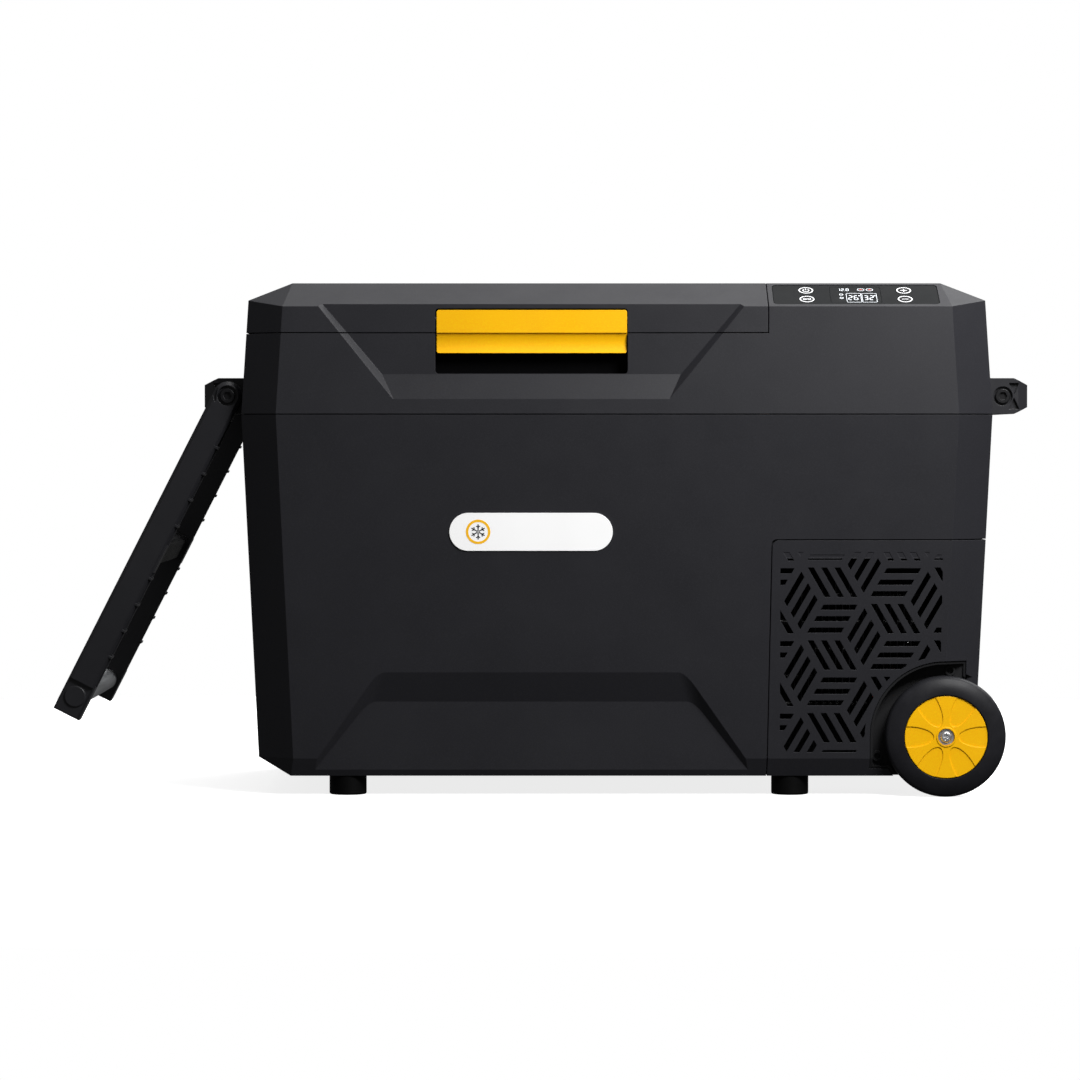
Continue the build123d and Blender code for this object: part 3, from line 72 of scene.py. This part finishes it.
# ---------------------------------------------------------------- node helpers
class Tree:
    """A material's node tree, with short calls for the nodes used here."""

    def __init__(self, name):
        self.material = bpy.data.materials.new(name)
        self.material.use_nodes = True
        self.nodes = self.material.node_tree.nodes
        self.links = self.material.node_tree.links
        self.shader = self.nodes["Principled BSDF"]
        self.place = self.nodes.new("ShaderNodeTexCoord").outputs["Object"]

    def put(self, source, target):
        """Links a socket, or sets a plain value."""
        if isinstance(source, bpy.types.NodeSocket):
            self.links.new(source, target)
        else:
            target.default_value = source

    def shader_value(self, name, value):
        self.put(value, self.shader.inputs[name])

    def stretched(self, scale):
        """Object coordinates scaled differently along each axis."""
        node = self.nodes.new("ShaderNodeMapping")
        self.put(self.place, node.inputs["Vector"])
        node.inputs["Scale"].default_value = scale
        return node.outputs["Vector"]

    def noise(self, scale, detail=2.0, rough=0.5, at=None):
        node = self.nodes.new("ShaderNodeTexNoise")
        self.put(self.place if at is None else at, node.inputs["Vector"])
        node.inputs["Scale"].default_value = scale
        node.inputs["Detail"].default_value = detail
        node.inputs["Roughness"].default_value = rough
        return node.outputs["Fac"]

    def cells(self, scale):
        node = self.nodes.new("ShaderNodeTexVoronoi")
        self.put(self.place, node.inputs["Vector"])
        node.inputs["Scale"].default_value = scale
        return node.outputs["Distance"]

    def wave(self, scale, direction="X", distortion=0.0):
        node = self.nodes.new("ShaderNodeTexWave")
        node.bands_direction = direction
        self.put(self.place, node.inputs["Vector"])
        node.inputs["Scale"].default_value = scale
        node.inputs["Distortion"].default_value = distortion
        return node.outputs["Fac"]

    def remap(self, value, low, high, to_low, to_high):
        node = self.nodes.new("ShaderNodeMapRange")
        for socket, given in zip(node.inputs[:5], (value, low, high, to_low, to_high)):
            self.put(given, socket)
        return node.outputs["Result"]

    def math(self, operation, first, second):
        node = self.nodes.new("ShaderNodeMath")
        node.operation = operation
        self.put(first, node.inputs[0])
        self.put(second, node.inputs[1])
        return node.outputs[0]

    def mix(self, factor, first, second):
        """Blends two colours."""
        node = self.nodes.new("ShaderNodeMix")
        node.data_type = "RGBA"
        self.put(factor, node.inputs["Factor"])
        self.put(first, node.inputs["A"])
        self.put(second, node.inputs["B"])
        return node.outputs["Result"]

    def inside(self, low, high):
        """1 inside a box given by two corners, 0 outside it."""
        axes = self.nodes.new("ShaderNodeSeparateXYZ")
        self.put(self.place, axes.inputs[0])
        within = 1.0
        for axis, start, end in zip(axes.outputs, low, high):
            for operation, limit in (("GREATER_THAN", start), ("LESS_THAN", end)):
                within = self.math("MULTIPLY", within, self.math(operation, axis, limit))
        return within

    def soft_edge(self, radius):
        """A normal that rolls over sharp edges, as a moulded edge does."""
        node = self.nodes.new("ShaderNodeBevel")
        node.samples = BEVEL_SAMPLES
        node.inputs["Radius"].default_value = radius
        return node.outputs["Normal"]

    def edge_mask(self, rounded, strength):
        """Rises towards 1 where the rounded normal leaves the true one: on edges."""
        geometry = self.nodes.new("ShaderNodeNewGeometry")
        dot = self.nodes.new("ShaderNodeVectorMath")
        dot.operation = "DOT_PRODUCT"
        self.put(rounded, dot.inputs[0])
        self.put(geometry.outputs["Normal"], dot.inputs[1])
        return self.remap(dot.outputs["Value"], 1.0, 0.75, 0.0, strength)

    def bump(self, height, strength, distance, normal=None):
        node = self.nodes.new("ShaderNodeBump")
        self.put(height, node.inputs["Height"])
        node.inputs["Strength"].default_value = strength
        node.inputs["Distance"].default_value = distance
        if normal is not None:
            self.put(normal, node.inputs["Normal"])
        return node.outputs["Normal"]


def shade(colour, factor):
    """A colour made lighter or darker, with its alpha kept at 1."""
    return (*[min(1.0, channel * factor) for channel in colour[:3]], 1.0)


# ---------------------------------------------------------------- materials
def moulded(name, colour, rough, specular, grain=900, strength=0.25, edge=0.0006, worn=1.9, painted_shade_box=None):
    """Injection-moulded plastic: cloudy tone, fine grain, rolled edges that are rubbed a little lighter.
    Inside the box given by two corners, the moulding is painted nearly black and loses nearly all its reflection:
    painted shade."""
    tree = Tree(name)
    cloud = tree.noise(9, detail=4, rough=0.6)
    speck = tree.noise(grain, detail=2, rough=0.6)
    tone = tree.mix(tree.remap(cloud, 0.3, 0.7, 0, 1), shade(colour, 0.93), shade(colour, 1.07))
    tone = tree.mix(tree.remap(speck, 0.45, 0.75, 0, 0.55), tone, shade(colour, 1.5))
    rounded = tree.soft_edge(edge)
    patchy = tree.remap(tree.noise(60, detail=3), 0.35, 0.65, 0.35, 1.0)
    rubbed = tree.math("MULTIPLY", tree.edge_mask(rounded, 0.8), patchy)
    tone = tree.mix(rubbed, tone, shade(colour, worn))
    if painted_shade_box is not None:
        # Painted shade: inside the box the colour falls to 12 % and the specular level to 0.03.
        pocket_shade = tree.inside(*painted_shade_box)
        tone = tree.mix(pocket_shade, tone, shade(colour, 0.12))
        specular = tree.remap(pocket_shade, 0, 1, specular, 0.03)
    tree.shader_value("Base Color", tone)
    smear = tree.noise(22, detail=5, rough=0.65)
    tree.shader_value("Roughness", tree.remap(smear, 0.3, 0.7, rough - 0.04, rough + 0.05))
    tree.shader_value("Specular IOR Level", specular)
    tree.shader_value("Normal", tree.bump(speck, strength, GRAIN_DEPTH, rounded))
    return tree.material


def rubber(name, colour, rough, specular=0.4):
    """Solid rubber: matt, faint mould bloom, a slight orange-peel surface."""
    tree = Tree(name)
    bloom = tree.noise(35, detail=5, rough=0.7)
    tone = tree.mix(tree.remap(bloom, 0.35, 0.7, 0, 1), shade(colour, 0.85), shade(colour, 1.25))
    tree.shader_value("Base Color", tone)
    peel = tree.noise(650, detail=3)
    tree.shader_value("Roughness", tree.remap(bloom, 0.3, 0.7, rough - 0.06, rough + 0.06))
    tree.shader_value("Specular IOR Level", specular)
    tree.shader_value("Normal", tree.bump(peel, 0.3, 0.0001, tree.soft_edge(0.0012)))
    return tree.material


def bare_metal(name, colour, rough, stretch, scratch=0.06):
    """Metal with drawn or turned marks along one direction and smudged gloss."""
    tree = Tree(name)
    marks = tree.noise(240, detail=4, rough=0.7, at=tree.stretched(stretch))
    stain = tree.noise(14, detail=4)
    tone = tree.mix(tree.remap(marks, 0.3, 0.7, 0, 1), shade(colour, 0.86), shade(colour, 1.08))
    tone = tree.mix(tree.remap(stain, 0.4, 0.75, 0, 0.35), tone, shade(colour, 0.7))
    tree.shader_value("Base Color", tone)
    tree.shader_value("Metallic", 1.0)
    tree.shader_value("Roughness", tree.remap(marks, 0.3, 0.7, rough - scratch, rough + scratch))
    tree.shader_value("Normal", tree.bump(marks, 0.12, 0.00005, tree.soft_edge(0.0004)))
    return tree.material


def tarnished(name, colour, dull, rough):
    """Copper tube with darker, greener patches."""
    tree = Tree(name)
    patch = tree.noise(28, detail=5, rough=0.7)
    fine = tree.noise(400, detail=2)
    tree.shader_value("Base Color", tree.mix(tree.remap(patch, 0.42, 0.7, 0, 1), colour, dull))
    tree.shader_value("Metallic", 1.0)
    tree.shader_value("Roughness", tree.remap(patch, 0.3, 0.7, rough, rough + 0.2))
    tree.shader_value("Normal", tree.bump(fine, 0.1, 0.00005, tree.soft_edge(0.0003)))
    return tree.material


def glossy(name, colour, rough, coat=0.3, speckle=1.15, edge=0.0005, specular=0.5, glow=0.0):
    """Hard gloss plastic with fine haze and dust specks. Any glow is painted light."""
    tree = Tree(name)
    cloud = tree.noise(18, detail=4)
    dust = tree.cells(520)
    tone = tree.mix(tree.remap(cloud, 0.3, 0.7, 0, 1), shade(colour, 0.95), shade(colour, speckle))
    tree.shader_value("Base Color", tree.mix(tree.remap(dust, 0.06, 0.0, 0, 0.3), tone, shade(colour, 2.2)))
    haze = tree.noise(45, detail=5, rough=0.7)
    tree.shader_value("Roughness", tree.remap(haze, 0.3, 0.7, rough, rough + 0.08))
    tree.shader_value("Specular IOR Level", specular)
    tree.shader_value("Emission Color", shade(colour, 1.0))
    tree.shader_value("Emission Strength", glow)
    tree.shader_value("Coat Weight", coat)
    tree.shader_value("Coat Roughness", 0.12)
    tree.shader_value("Normal", tree.bump(tree.noise(500), 0.05, 0.00005, tree.soft_edge(edge)))
    return tree.material


def foam_block(name, colour):
    """Rigid foam: pale, matt and pitted, with painted shade in the pits."""
    tree = Tree(name)
    pits = tree.cells(420)
    cloud = tree.noise(20, detail=4)
    tone = tree.mix(tree.remap(cloud, 0.3, 0.7, 0, 1), shade(colour, 0.85), shade(colour, 1.05))
    # Painted shade: the colour darkens towards the middle of each pit, where the bump sinks.
    tree.shader_value("Base Color", tree.mix(tree.remap(pits, 0.0, 0.5, 0.4, 0.0), tone, shade(colour, 0.6)))
    tree.shader_value("Roughness", tree.remap(cloud, 0.3, 0.7, 0.85, 0.95))
    tree.shader_value("Normal", tree.bump(pits, 0.5, 0.0006))
    return tree.material


def circuit_board(name):
    """Green solder mask with copper tracks showing faintly through."""
    tree = Tree(name)
    tracks = tree.math("MAXIMUM", tree.wave(150, "X", 2.0), tree.wave(130, "Y", 2.5))
    green, track = (0.012, 0.09, 0.035, 1.0), (0.03, 0.2, 0.08, 1.0)
    tree.shader_value("Base Color", tree.mix(tree.remap(tracks, 0.9, 0.96, 0, 1), green, track))
    tree.shader_value("Roughness", tree.remap(tree.noise(60), 0.3, 0.7, 0.25, 0.4))
    tree.shader_value("Normal", tree.bump(tracks, 0.2, 0.00005, tree.soft_edge(0.0003)))
    return tree.material


def frosted(name):
    """Milky lamp cover with fine prisms, their shading painted in."""
    tree = Tree(name)
    prism = tree.wave(260, "X")
    low, high = (0.75, 0.77, 0.8, 1), (0.9, 0.92, 0.95, 1)
    # Painted shading: lighter on the prisms' crests and darker in their troughs, following the bump.
    tree.shader_value("Base Color", tree.mix(tree.remap(prism, 0, 1, 0, 1), low, high))
    tree.shader_value("Roughness", tree.remap(tree.noise(80), 0.3, 0.7, 0.25, 0.4))
    tree.shader_value("Emission Color", (0.9, 0.95, 1.0, 1.0))
    tree.shader_value("Emission Strength", 0.15)
    tree.shader_value("Normal", tree.bump(prism, 0.4, 0.0002, tree.soft_edge(0.0004)))
    return tree.material


def printed(name, colour, glow=0.0):
    """Ink or a lit segment: even colour with slight mottling. Glow on ink is painted light; on a lit segment it is
    the display's own light.
    """
    tree = Tree(name)
    mottle = tree.noise(900, detail=3)
    tone = tree.mix(tree.remap(mottle, 0.3, 0.7, 0, 1), shade(colour, 0.9), shade(colour, 1.05))
    tree.shader_value("Base Color", tone)
    tree.shader_value("Roughness", tree.remap(mottle, 0.3, 0.7, 0.4, 0.55))
    if glow:
        tree.shader_value("Emission Color", (*colour[:3], 1.0))
        tree.shader_value("Emission Strength", glow)
    return tree.material


CHARCOAL = (0.0176, 0.0176, 0.0210)
# The latch's pocket: the box of its handle, grown to take in the walls and the finger gap behind and below. Inside
# it the casing and lid are painted nearly black: painted shade in the recess.
POCKET_SHADE_BOX = tuple(
    Vector(corner) + Vector(margin)
    for corner, margin in zip(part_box("latch_handle"), ((-0.003, 0.006, -0.02), (0.003, 0.03, 0.0015)))
)
MATERIALS = {
    "casing_plastic": moulded("casing_plastic", CHARCOAL, 0.46, 0.26, painted_shade_box=POCKET_SHADE_BOX),
    "lid_plastic": moulded("lid_plastic", CHARCOAL, 0.46, 0.26, painted_shade_box=POCKET_SHADE_BOX),
    "black_plastic": moulded("black_plastic", (0.012, 0.012, 0.013), 0.5, 0.22, grain=1400, strength=0.12),
    "handle_plastic": moulded(
        "handle_plastic", (0.017, 0.017, 0.0197), 0.36, 0.4, grain=1800, strength=0.08, worn=1.5
    ),
    "yellow_plastic": moulded(
        "yellow_plastic", (0.99, 0.475, 0.002), 0.42, 0.2, grain=1500, strength=0.08, worn=1.15, edge=0.0007
    ),
    "liner_plastic": glossy("liner_plastic", (0.62, 0.64, 0.66), 0.3, coat=0.15, speckle=1.05, edge=0.0015),
    "foam": foam_block("foam", (0.74, 0.62, 0.36)),
    "gasket_rubber": rubber("gasket_rubber", (0.02, 0.02, 0.021), 0.6),
    "foot_rubber": rubber("foot_rubber", (0.0018, 0.0018, 0.0019), 0.62, specular=0.1),
    "tyre": rubber("tyre", (0.0125, 0.0125, 0.0148), 0.42, specular=0.16),
    "panel_gloss": glossy("panel_gloss", (0.007, 0.0078, 0.0085), 0.42, coat=0.0, specular=0.05),
    "key_gloss": glossy("key_gloss", (0.008, 0.008, 0.009), 0.4, coat=0.0, specular=0.07),
    "steel": bare_metal("steel", (0.5, 0.5, 0.5), 0.35, (1, 1, 6)),
    "chrome": bare_metal("chrome", (0.95, 0.96, 0.98), 0.36, (1, 4, 1), scratch=0.04),
    "grip_metal": bare_metal("grip_metal", (0.85, 0.87, 0.9), 0.36, (1, 0.06, 1)),
    "copper": tarnished("copper", (0.72, 0.3, 0.16, 1), (0.3, 0.13, 0.07, 1), 0.28),
    "black_paint": moulded(
        "black_paint", (0.008, 0.008, 0.009), 0.36, 0.3, grain=500, strength=0.1, worn=2.4
    ),
    "board_green": circuit_board("board_green"),
    # The white badge glows faintly: painted light, the badge is no lamp.
    "badge_white": glossy("badge_white", (0.95, 0.95, 0.95), 0.3, coat=0.2, speckle=1.0, glow=0.22),
    "lamp": frosted("lamp"),
}
# The white key print glows a little: painted light.
PRINT_WHITE = printed("print_white", (0.82, 0.83, 0.84), glow=0.1)
PRINT_DARK = printed("print_dark", (0.012, 0.012, 0.014))
# The yellow badge ring glows a little: painted light.
PRINT_YELLOW = printed("print_yellow", (0.95, 0.5, 0.005), glow=0.15)
LIT_WHITE = printed("lit_white", (0.8, 0.84, 0.88), glow=0.55)
LIT_RED = printed("lit_red", (0.75, 0.05, 0.03), glow=0.5)

for part in frame["record"]["subparts"]:
    mesh = frame["nodes"][part["node"]].data
    mesh.materials.clear()
    mesh.materials.append(MATERIALS[part["material_slot"]])


# ---------------------------------------------------------------- printed marks
def circle(u, v, radius, steps=40, start=0.0, turn=2 * pi):
    """Points of an arc, and of a whole circle when turn is 2 pi."""
    whole = abs(turn - 2 * pi) < 1e-6
    count = steps if whole else steps + 1
    angles = [start + turn * i / steps for i in range(count)]
    return [(u + radius * cos(a), v + radius * sin(a)) for a in angles]


def rounded_box(u0, u1, v0, v1, radius):
    """The outline of a rectangle with round corners."""
    steps = 5
    left, right, low, high = u0 + radius, u1 - radius, v0 + radius, v1 - radius
    points = []
    for quarter, (u, v) in enumerate(((right, high), (left, high), (left, low), (right, low))):
        for i in range(steps + 1):
            a = (quarter + i / steps) * pi / 2
            points.append((u + radius * cos(a), v + radius * sin(a)))
    return points


def offset_line(points, closed, reach):
    """The points moved sideways by reach, with mitred corners."""
    moved = []
    count = len(points)
    for i, (u, v) in enumerate(points):
        before = points[i - 1] if closed or i else None
        after = points[(i + 1) % count] if closed or i < count - 1 else None
        ways = []
        for a, b in ((before, (u, v)), ((u, v), after)):
            if a is not None and b is not None:
                ways.append(Vector((b[0] - a[0], b[1] - a[1])).normalized())
        along = (ways[0] + ways[-1]).normalized()
        lean = max(0.35, along.dot(ways[0]))
        moved.append((u - along.y * reach / lean, v + along.x * reach / lean))
    return moved


class Plate:
    """A flat face on the object, with u to the right, v up the face and n out of it."""

    def __init__(self, node, half_height, up, out):
        low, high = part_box(node)
        self.u, self.v, self.n = Vector((1, 0, 0)), Vector(up), Vector(out)
        reach = half_height * MM
        self.centre = Vector(((low[0] + high[0]) / 2, low[1] + reach * abs(up[1]), high[2] - reach * up[2]))

    def at(self, u, v, height):
        return self.centre + self.u * u * MM + self.v * v * MM + self.n * height


def print_marks(name, plate, lines, material, body):
    """Thin solids of ink in one piece. Each line is (points, width, closed), in millimetres."""
    mesh = bpy.data.meshes.new(name)
    ink = bmesh.new()

    def loops(points):
        return [[ink.verts.new(plate.at(u, v, level)) for u, v in points] for level in (INK_BASE, INK_TOP)]

    def walls(low, high, closed):
        for i in range(len(low) if closed else len(low) - 1):
            j = (i + 1) % len(low)
            ink.faces.new((low[i], low[j], high[j], high[i]))

    for points, width, closed in lines:
        left = offset_line(points, closed, width / 2)
        right = offset_line(points, closed, -width / 2)
        (left_low, left_high), (right_low, right_high) = loops(left), loops(right)
        count = len(points)
        for i in range(count if closed else count - 1):
            j = (i + 1) % count
            ink.faces.new((right_high[i], right_high[j], left_high[j], left_high[i]))
            ink.faces.new((left_low[i], left_low[j], right_low[j], right_low[i]))
        walls(right_low, right_high, closed)
        walls(left_low[::-1], left_high[::-1], closed)
        if not closed:
            ink.faces.new((left_low[0], right_low[0], right_high[0], left_high[0]))
            ink.faces.new((right_low[-1], left_low[-1], left_high[-1], right_high[-1]))
    bmesh.ops.recalc_face_normals(ink, faces=ink.faces)
    ink.to_mesh(mesh)
    ink.free()
    mesh.materials.append(material)
    piece = bpy.data.objects.new(name, mesh)
    scene.collection.objects.link(piece)
    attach(piece, body)


def bar(start, end, width):
    """A straight stroke."""
    return [start, end], width, False


def ring(u, v, radius, width, steps):
    """A round stroke that closes on itself."""
    return circle(u, v, radius, steps), width, True


# The lit segments of each figure, named as on any seven-segment display.
SEGMENTS = {
    "0": "abcdef", "1": "bc", "2": "abged", "3": "abgcd", "4": "fgbc",
    "5": "afgcd", "6": "afgedc", "7": "abc", "8": "abcdefg", "9": "abfgcd",
}


def digit(figure, u, v, width, height, stroke):
    """The lit segments of one figure, whose lower left corner is at (u, v)."""
    left, right = u + stroke / 2, u + width - stroke / 2
    low, middle, high = v + stroke / 2, v + height / 2, v + height - stroke / 2
    gap = stroke * 0.6
    ends = {
        "a": ((left + gap, high), (right - gap, high)),
        "b": ((right, high - gap), (right, middle + gap)),
        "c": ((right, middle - gap), (right, low + gap)),
        "d": ((left + gap, low), (right - gap, low)),
        "e": ((left, middle - gap), (left, low + gap)),
        "f": ((left, high - gap), (left, middle + gap)),
        "g": ((left + gap, middle), (right - gap, middle)),
    }
    return [bar(*ends[part], stroke) for part in SEGMENTS[figure]]


def number(text, u, v, width, height, stroke, pitch):
    """Figures in a row. A full stop becomes a small square and takes little room."""
    lines = []
    for sign in text:
        if sign == ".":
            lines.append(bar((u - 0.1, v), (u - 0.1, v + stroke), stroke))
            u += stroke * 1.3
        else:
            lines += digit(sign, u, v, width, height, stroke)
            u += pitch
    return lines


def panel_axes():
    """Up the control panel, and out of it: opposite to the way that a key is pressed."""
    out = -Vector(JOINTS["power_key_press"]["axis"]).normalized()
    return out.cross(Vector((1, 0, 0))), out


KEY_ICONS = {
    "power": [
        (circle(0, -0.2, 2.6, 30, radians(125), radians(290)), 0.85, False),
        bar((0, 0.6), (0, 3.6), 0.85),
    ],
    "mode": [ring(-1.9, 0, 1.3, 0.75, 20), ring(1.9, 0, 1.3, 0.75, 20), bar((-0.6, 0), (0.6, 0), 0.75)],
    "plus": [
        bar((-2.9, 0), (2.9, 0), 0.9),
        bar((0, 0.45), (0, 2.9), 0.9),
        bar((0, -2.9), (0, -0.45), 0.9),
    ],
    "minus": [bar((-2.9, 0), (2.9, 0), 0.9)],
}
# The width, height, stroke and pitch of the display's figures, in millimetres.
LARGE_FIGURES = (3.7, 9.6, 0.78, 4.9)
SMALL_FIGURES = (2.7, 5.2, 0.55, 3.5)


def print_keys():
    up, out = panel_axes()
    for key, icon in KEY_ICONS.items():
        plate = Plate(key + "_button", KEY_HALF, up, out)
        marks = [ring(0, 0, 5.9, 1.1, 40)] + icon
        print_marks(key + "_key_print", plate, marks, PRINT_WHITE, key + "_key")


def print_display():
    plate = Plate("display_window", WINDOW_HALF, *panel_axes())
    frames = [(rounded_box(u, u + 12.6, -15.4, 3.2, 1.2), 0.36, True) for u in (-8.0, 5.6)]
    figures = number("26", -6.6, -10.8, *LARGE_FIGURES) + number("32", 7.0, -10.8, *LARGE_FIGURES)
    degrees = [ring(u, -1.9, 0.65, 0.4, 12) for u in (3.1, 16.7)]
    voltage = number("12.8", -15.6, 8.4, *SMALL_FIGURES)
    side = [ring(-12.4, v, 1.5, 0.5, 16) for v in (0.6, -6.4)]
    ovals = [(rounded_box(u0, u1, 8.6, 13.2, 2.2), 0.45, True) for u0, u1 in ((2.4, 8.2), (10.0, 15.8))]
    lines = frames + figures + degrees + voltage + side + ovals
    print_marks("display_figures", plate, lines, LIT_WHITE, "casing")
    warning = [bar((4.2, 10.9), (6.4, 10.9), 0.8), bar((11.8, 10.9), (14.0, 10.9), 0.8)]
    print_marks("display_warning_marks", plate, warning, LIT_RED, "casing")


def snowflake(u, v, reach, stroke):
    """Six arms with two barbs each."""
    lines = []
    for arm in range(6):
        a = radians(30 + 60 * arm)
        tip = (u + reach * cos(a), v + reach * sin(a))
        lines.append(bar((u + 0.6 * cos(a), v + 0.6 * sin(a)), tip, stroke))
        root = (u + 0.58 * reach * cos(a), v + 0.58 * reach * sin(a))
        for side in (-1, 1):
            b = a + side * radians(52)
            end = (root[0] + 0.34 * reach * cos(b), root[1] + 0.34 * reach * sin(b))
            lines.append(bar(root, end, stroke * 0.85))
    return lines


def print_badge():
    low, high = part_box("badge_plate")
    up = Vector((0, -BADGE_LEAN, 1)).normalized()
    out = Vector((0, -1, -BADGE_LEAN)).normalized()
    plate = Plate("badge_plate", (high[2] - low[2]) / MM / 2, up, out)
    mark_u = -46
    frame_ring = [ring(mark_u, 0, 9.6, 2.2, 48)]
    print_marks("badge_ring", plate, frame_ring, PRINT_YELLOW, "casing")
    flake = snowflake(mark_u, 0, 6.6, 1.0)
    print_marks("badge_snowflake", plate, flake, PRINT_DARK, "casing")


print_keys()
print_display()
print_badge()


# ---------------------------------------------------------------- camera, light, floor
def look_camera():
    data = bpy.data.cameras.new("camera")
    data.sensor_width = 36
    data.lens = CAMERA_LENS
    data.clip_end = 60
    camera = bpy.data.objects.new("camera", data)
    camera.location = CAMERA_PLACE
    camera.rotation_euler = (radians(90 - CAMERA_TILT), 0, 0)
    scene.collection.objects.link(camera)
    scene.camera = camera


def key_light():
    data = bpy.data.lights.new("key", "AREA")
    data.shape = "RECTANGLE"
    data.size, data.size_y = KEY_SIDE, KEY_SIDE
    data.energy = KEY_POWER
    lamp = bpy.data.objects.new("key", data)
    lamp.location = KEY_PLACE
    lamp.rotation_euler = (Vector(KEY_AIM) - Vector(KEY_PLACE)).to_track_quat("-Z", "Y").to_euler()
    scene.collection.objects.link(lamp)


def studio():
    """Camera rays see plain white; every other ray sees a dim room with a bright ceiling."""
    world = bpy.data.worlds.new("studio")
    scene.world = world
    world.use_nodes = True
    nodes, links = world.node_tree.nodes, world.node_tree.links
    way = nodes.new("ShaderNodeSeparateXYZ")
    links.new(nodes.new("ShaderNodeTexCoord").outputs["Generated"], way.inputs[0])

    def ramp(axis, low, high, to_low, to_high):
        node = nodes.new("ShaderNodeMapRange")
        node.interpolation_type = "SMOOTHSTEP"
        links.new(way.outputs[axis], node.inputs["Value"])
        for socket, value in zip(node.inputs[1:5], (low, high, to_low, to_high)):
            socket.default_value = value
        return node.outputs["Result"]

    def combine(operation, first, second):
        node = nodes.new("ShaderNodeMath")
        node.operation = operation
        links.new(first, node.inputs[0])
        links.new(second, node.inputs[1])
        return node.outputs[0]

    # The ceiling fades in above eye level, and is brightest towards the right and the back.
    ceiling = combine("MULTIPLY", ramp("Z", 0.45, 0.95, 0.0, CEILING), ramp("X", -0.22, 0.8, 0.12, 5.4))
    ceiling = combine("MULTIPLY", ceiling, ramp("Y", -0.5, 0.5, 0.3, 1.4))
    walls = combine("MULTIPLY", ramp("X", -0.9, 0.9, WALL_LEFT, WALL_RIGHT), ramp("Z", -0.35, 0.3, 0.6, 1.0))
    light = combine("ADD", ceiling, walls)
    blend = nodes.new("ShaderNodeMix")
    blend.data_type = "RGBA"
    links.new(nodes.new("ShaderNodeLightPath").outputs["Is Camera Ray"], blend.inputs["Factor"])
    links.new(light, blend.inputs["A"])
    blend.inputs["B"].default_value = (1, 1, 1, 1)
    links.new(blend.outputs["Result"], nodes["Background"].inputs["Color"])
    scene.view_settings.view_transform = "Standard"


def floor():
    """A plain white oval, larger than the object and its shadow. It lights nothing and isn't reflected."""
    mesh = bpy.data.meshes.new("floor")
    angles = [2 * pi * i / FLOOR_SIDES for i in range(FLOOR_SIDES)]
    rim = [(FLOOR_HALF[0] * cos(a), FLOOR_HALF[1] * sin(a), FLOOR_LEVEL) for a in angles]
    mesh.from_pydata(rim, [], [tuple(range(len(rim)))])
    ground = bpy.data.objects.new("floor", mesh)
    scene.collection.objects.link(ground)
    tree = Tree("floor_paint")
    cloud = tree.noise(3, detail=4)
    tree.shader_value("Base Color", tree.mix(cloud, (0.7, 0.7, 0.7, 1), (0.74, 0.74, 0.74, 1)))
    tree.shader_value("Emission Color", (1, 1, 1, 1))
    tree.shader_value("Emission Strength", FLOOR_GLOW)
    tree.shader_value("Roughness", 0.9)
    tree.shader_value("Specular IOR Level", 0.0)
    mesh.materials.append(tree.material)
    ground.visible_diffuse = False
    ground.visible_glossy = False


look_camera()
studio()
key_light()
floor()
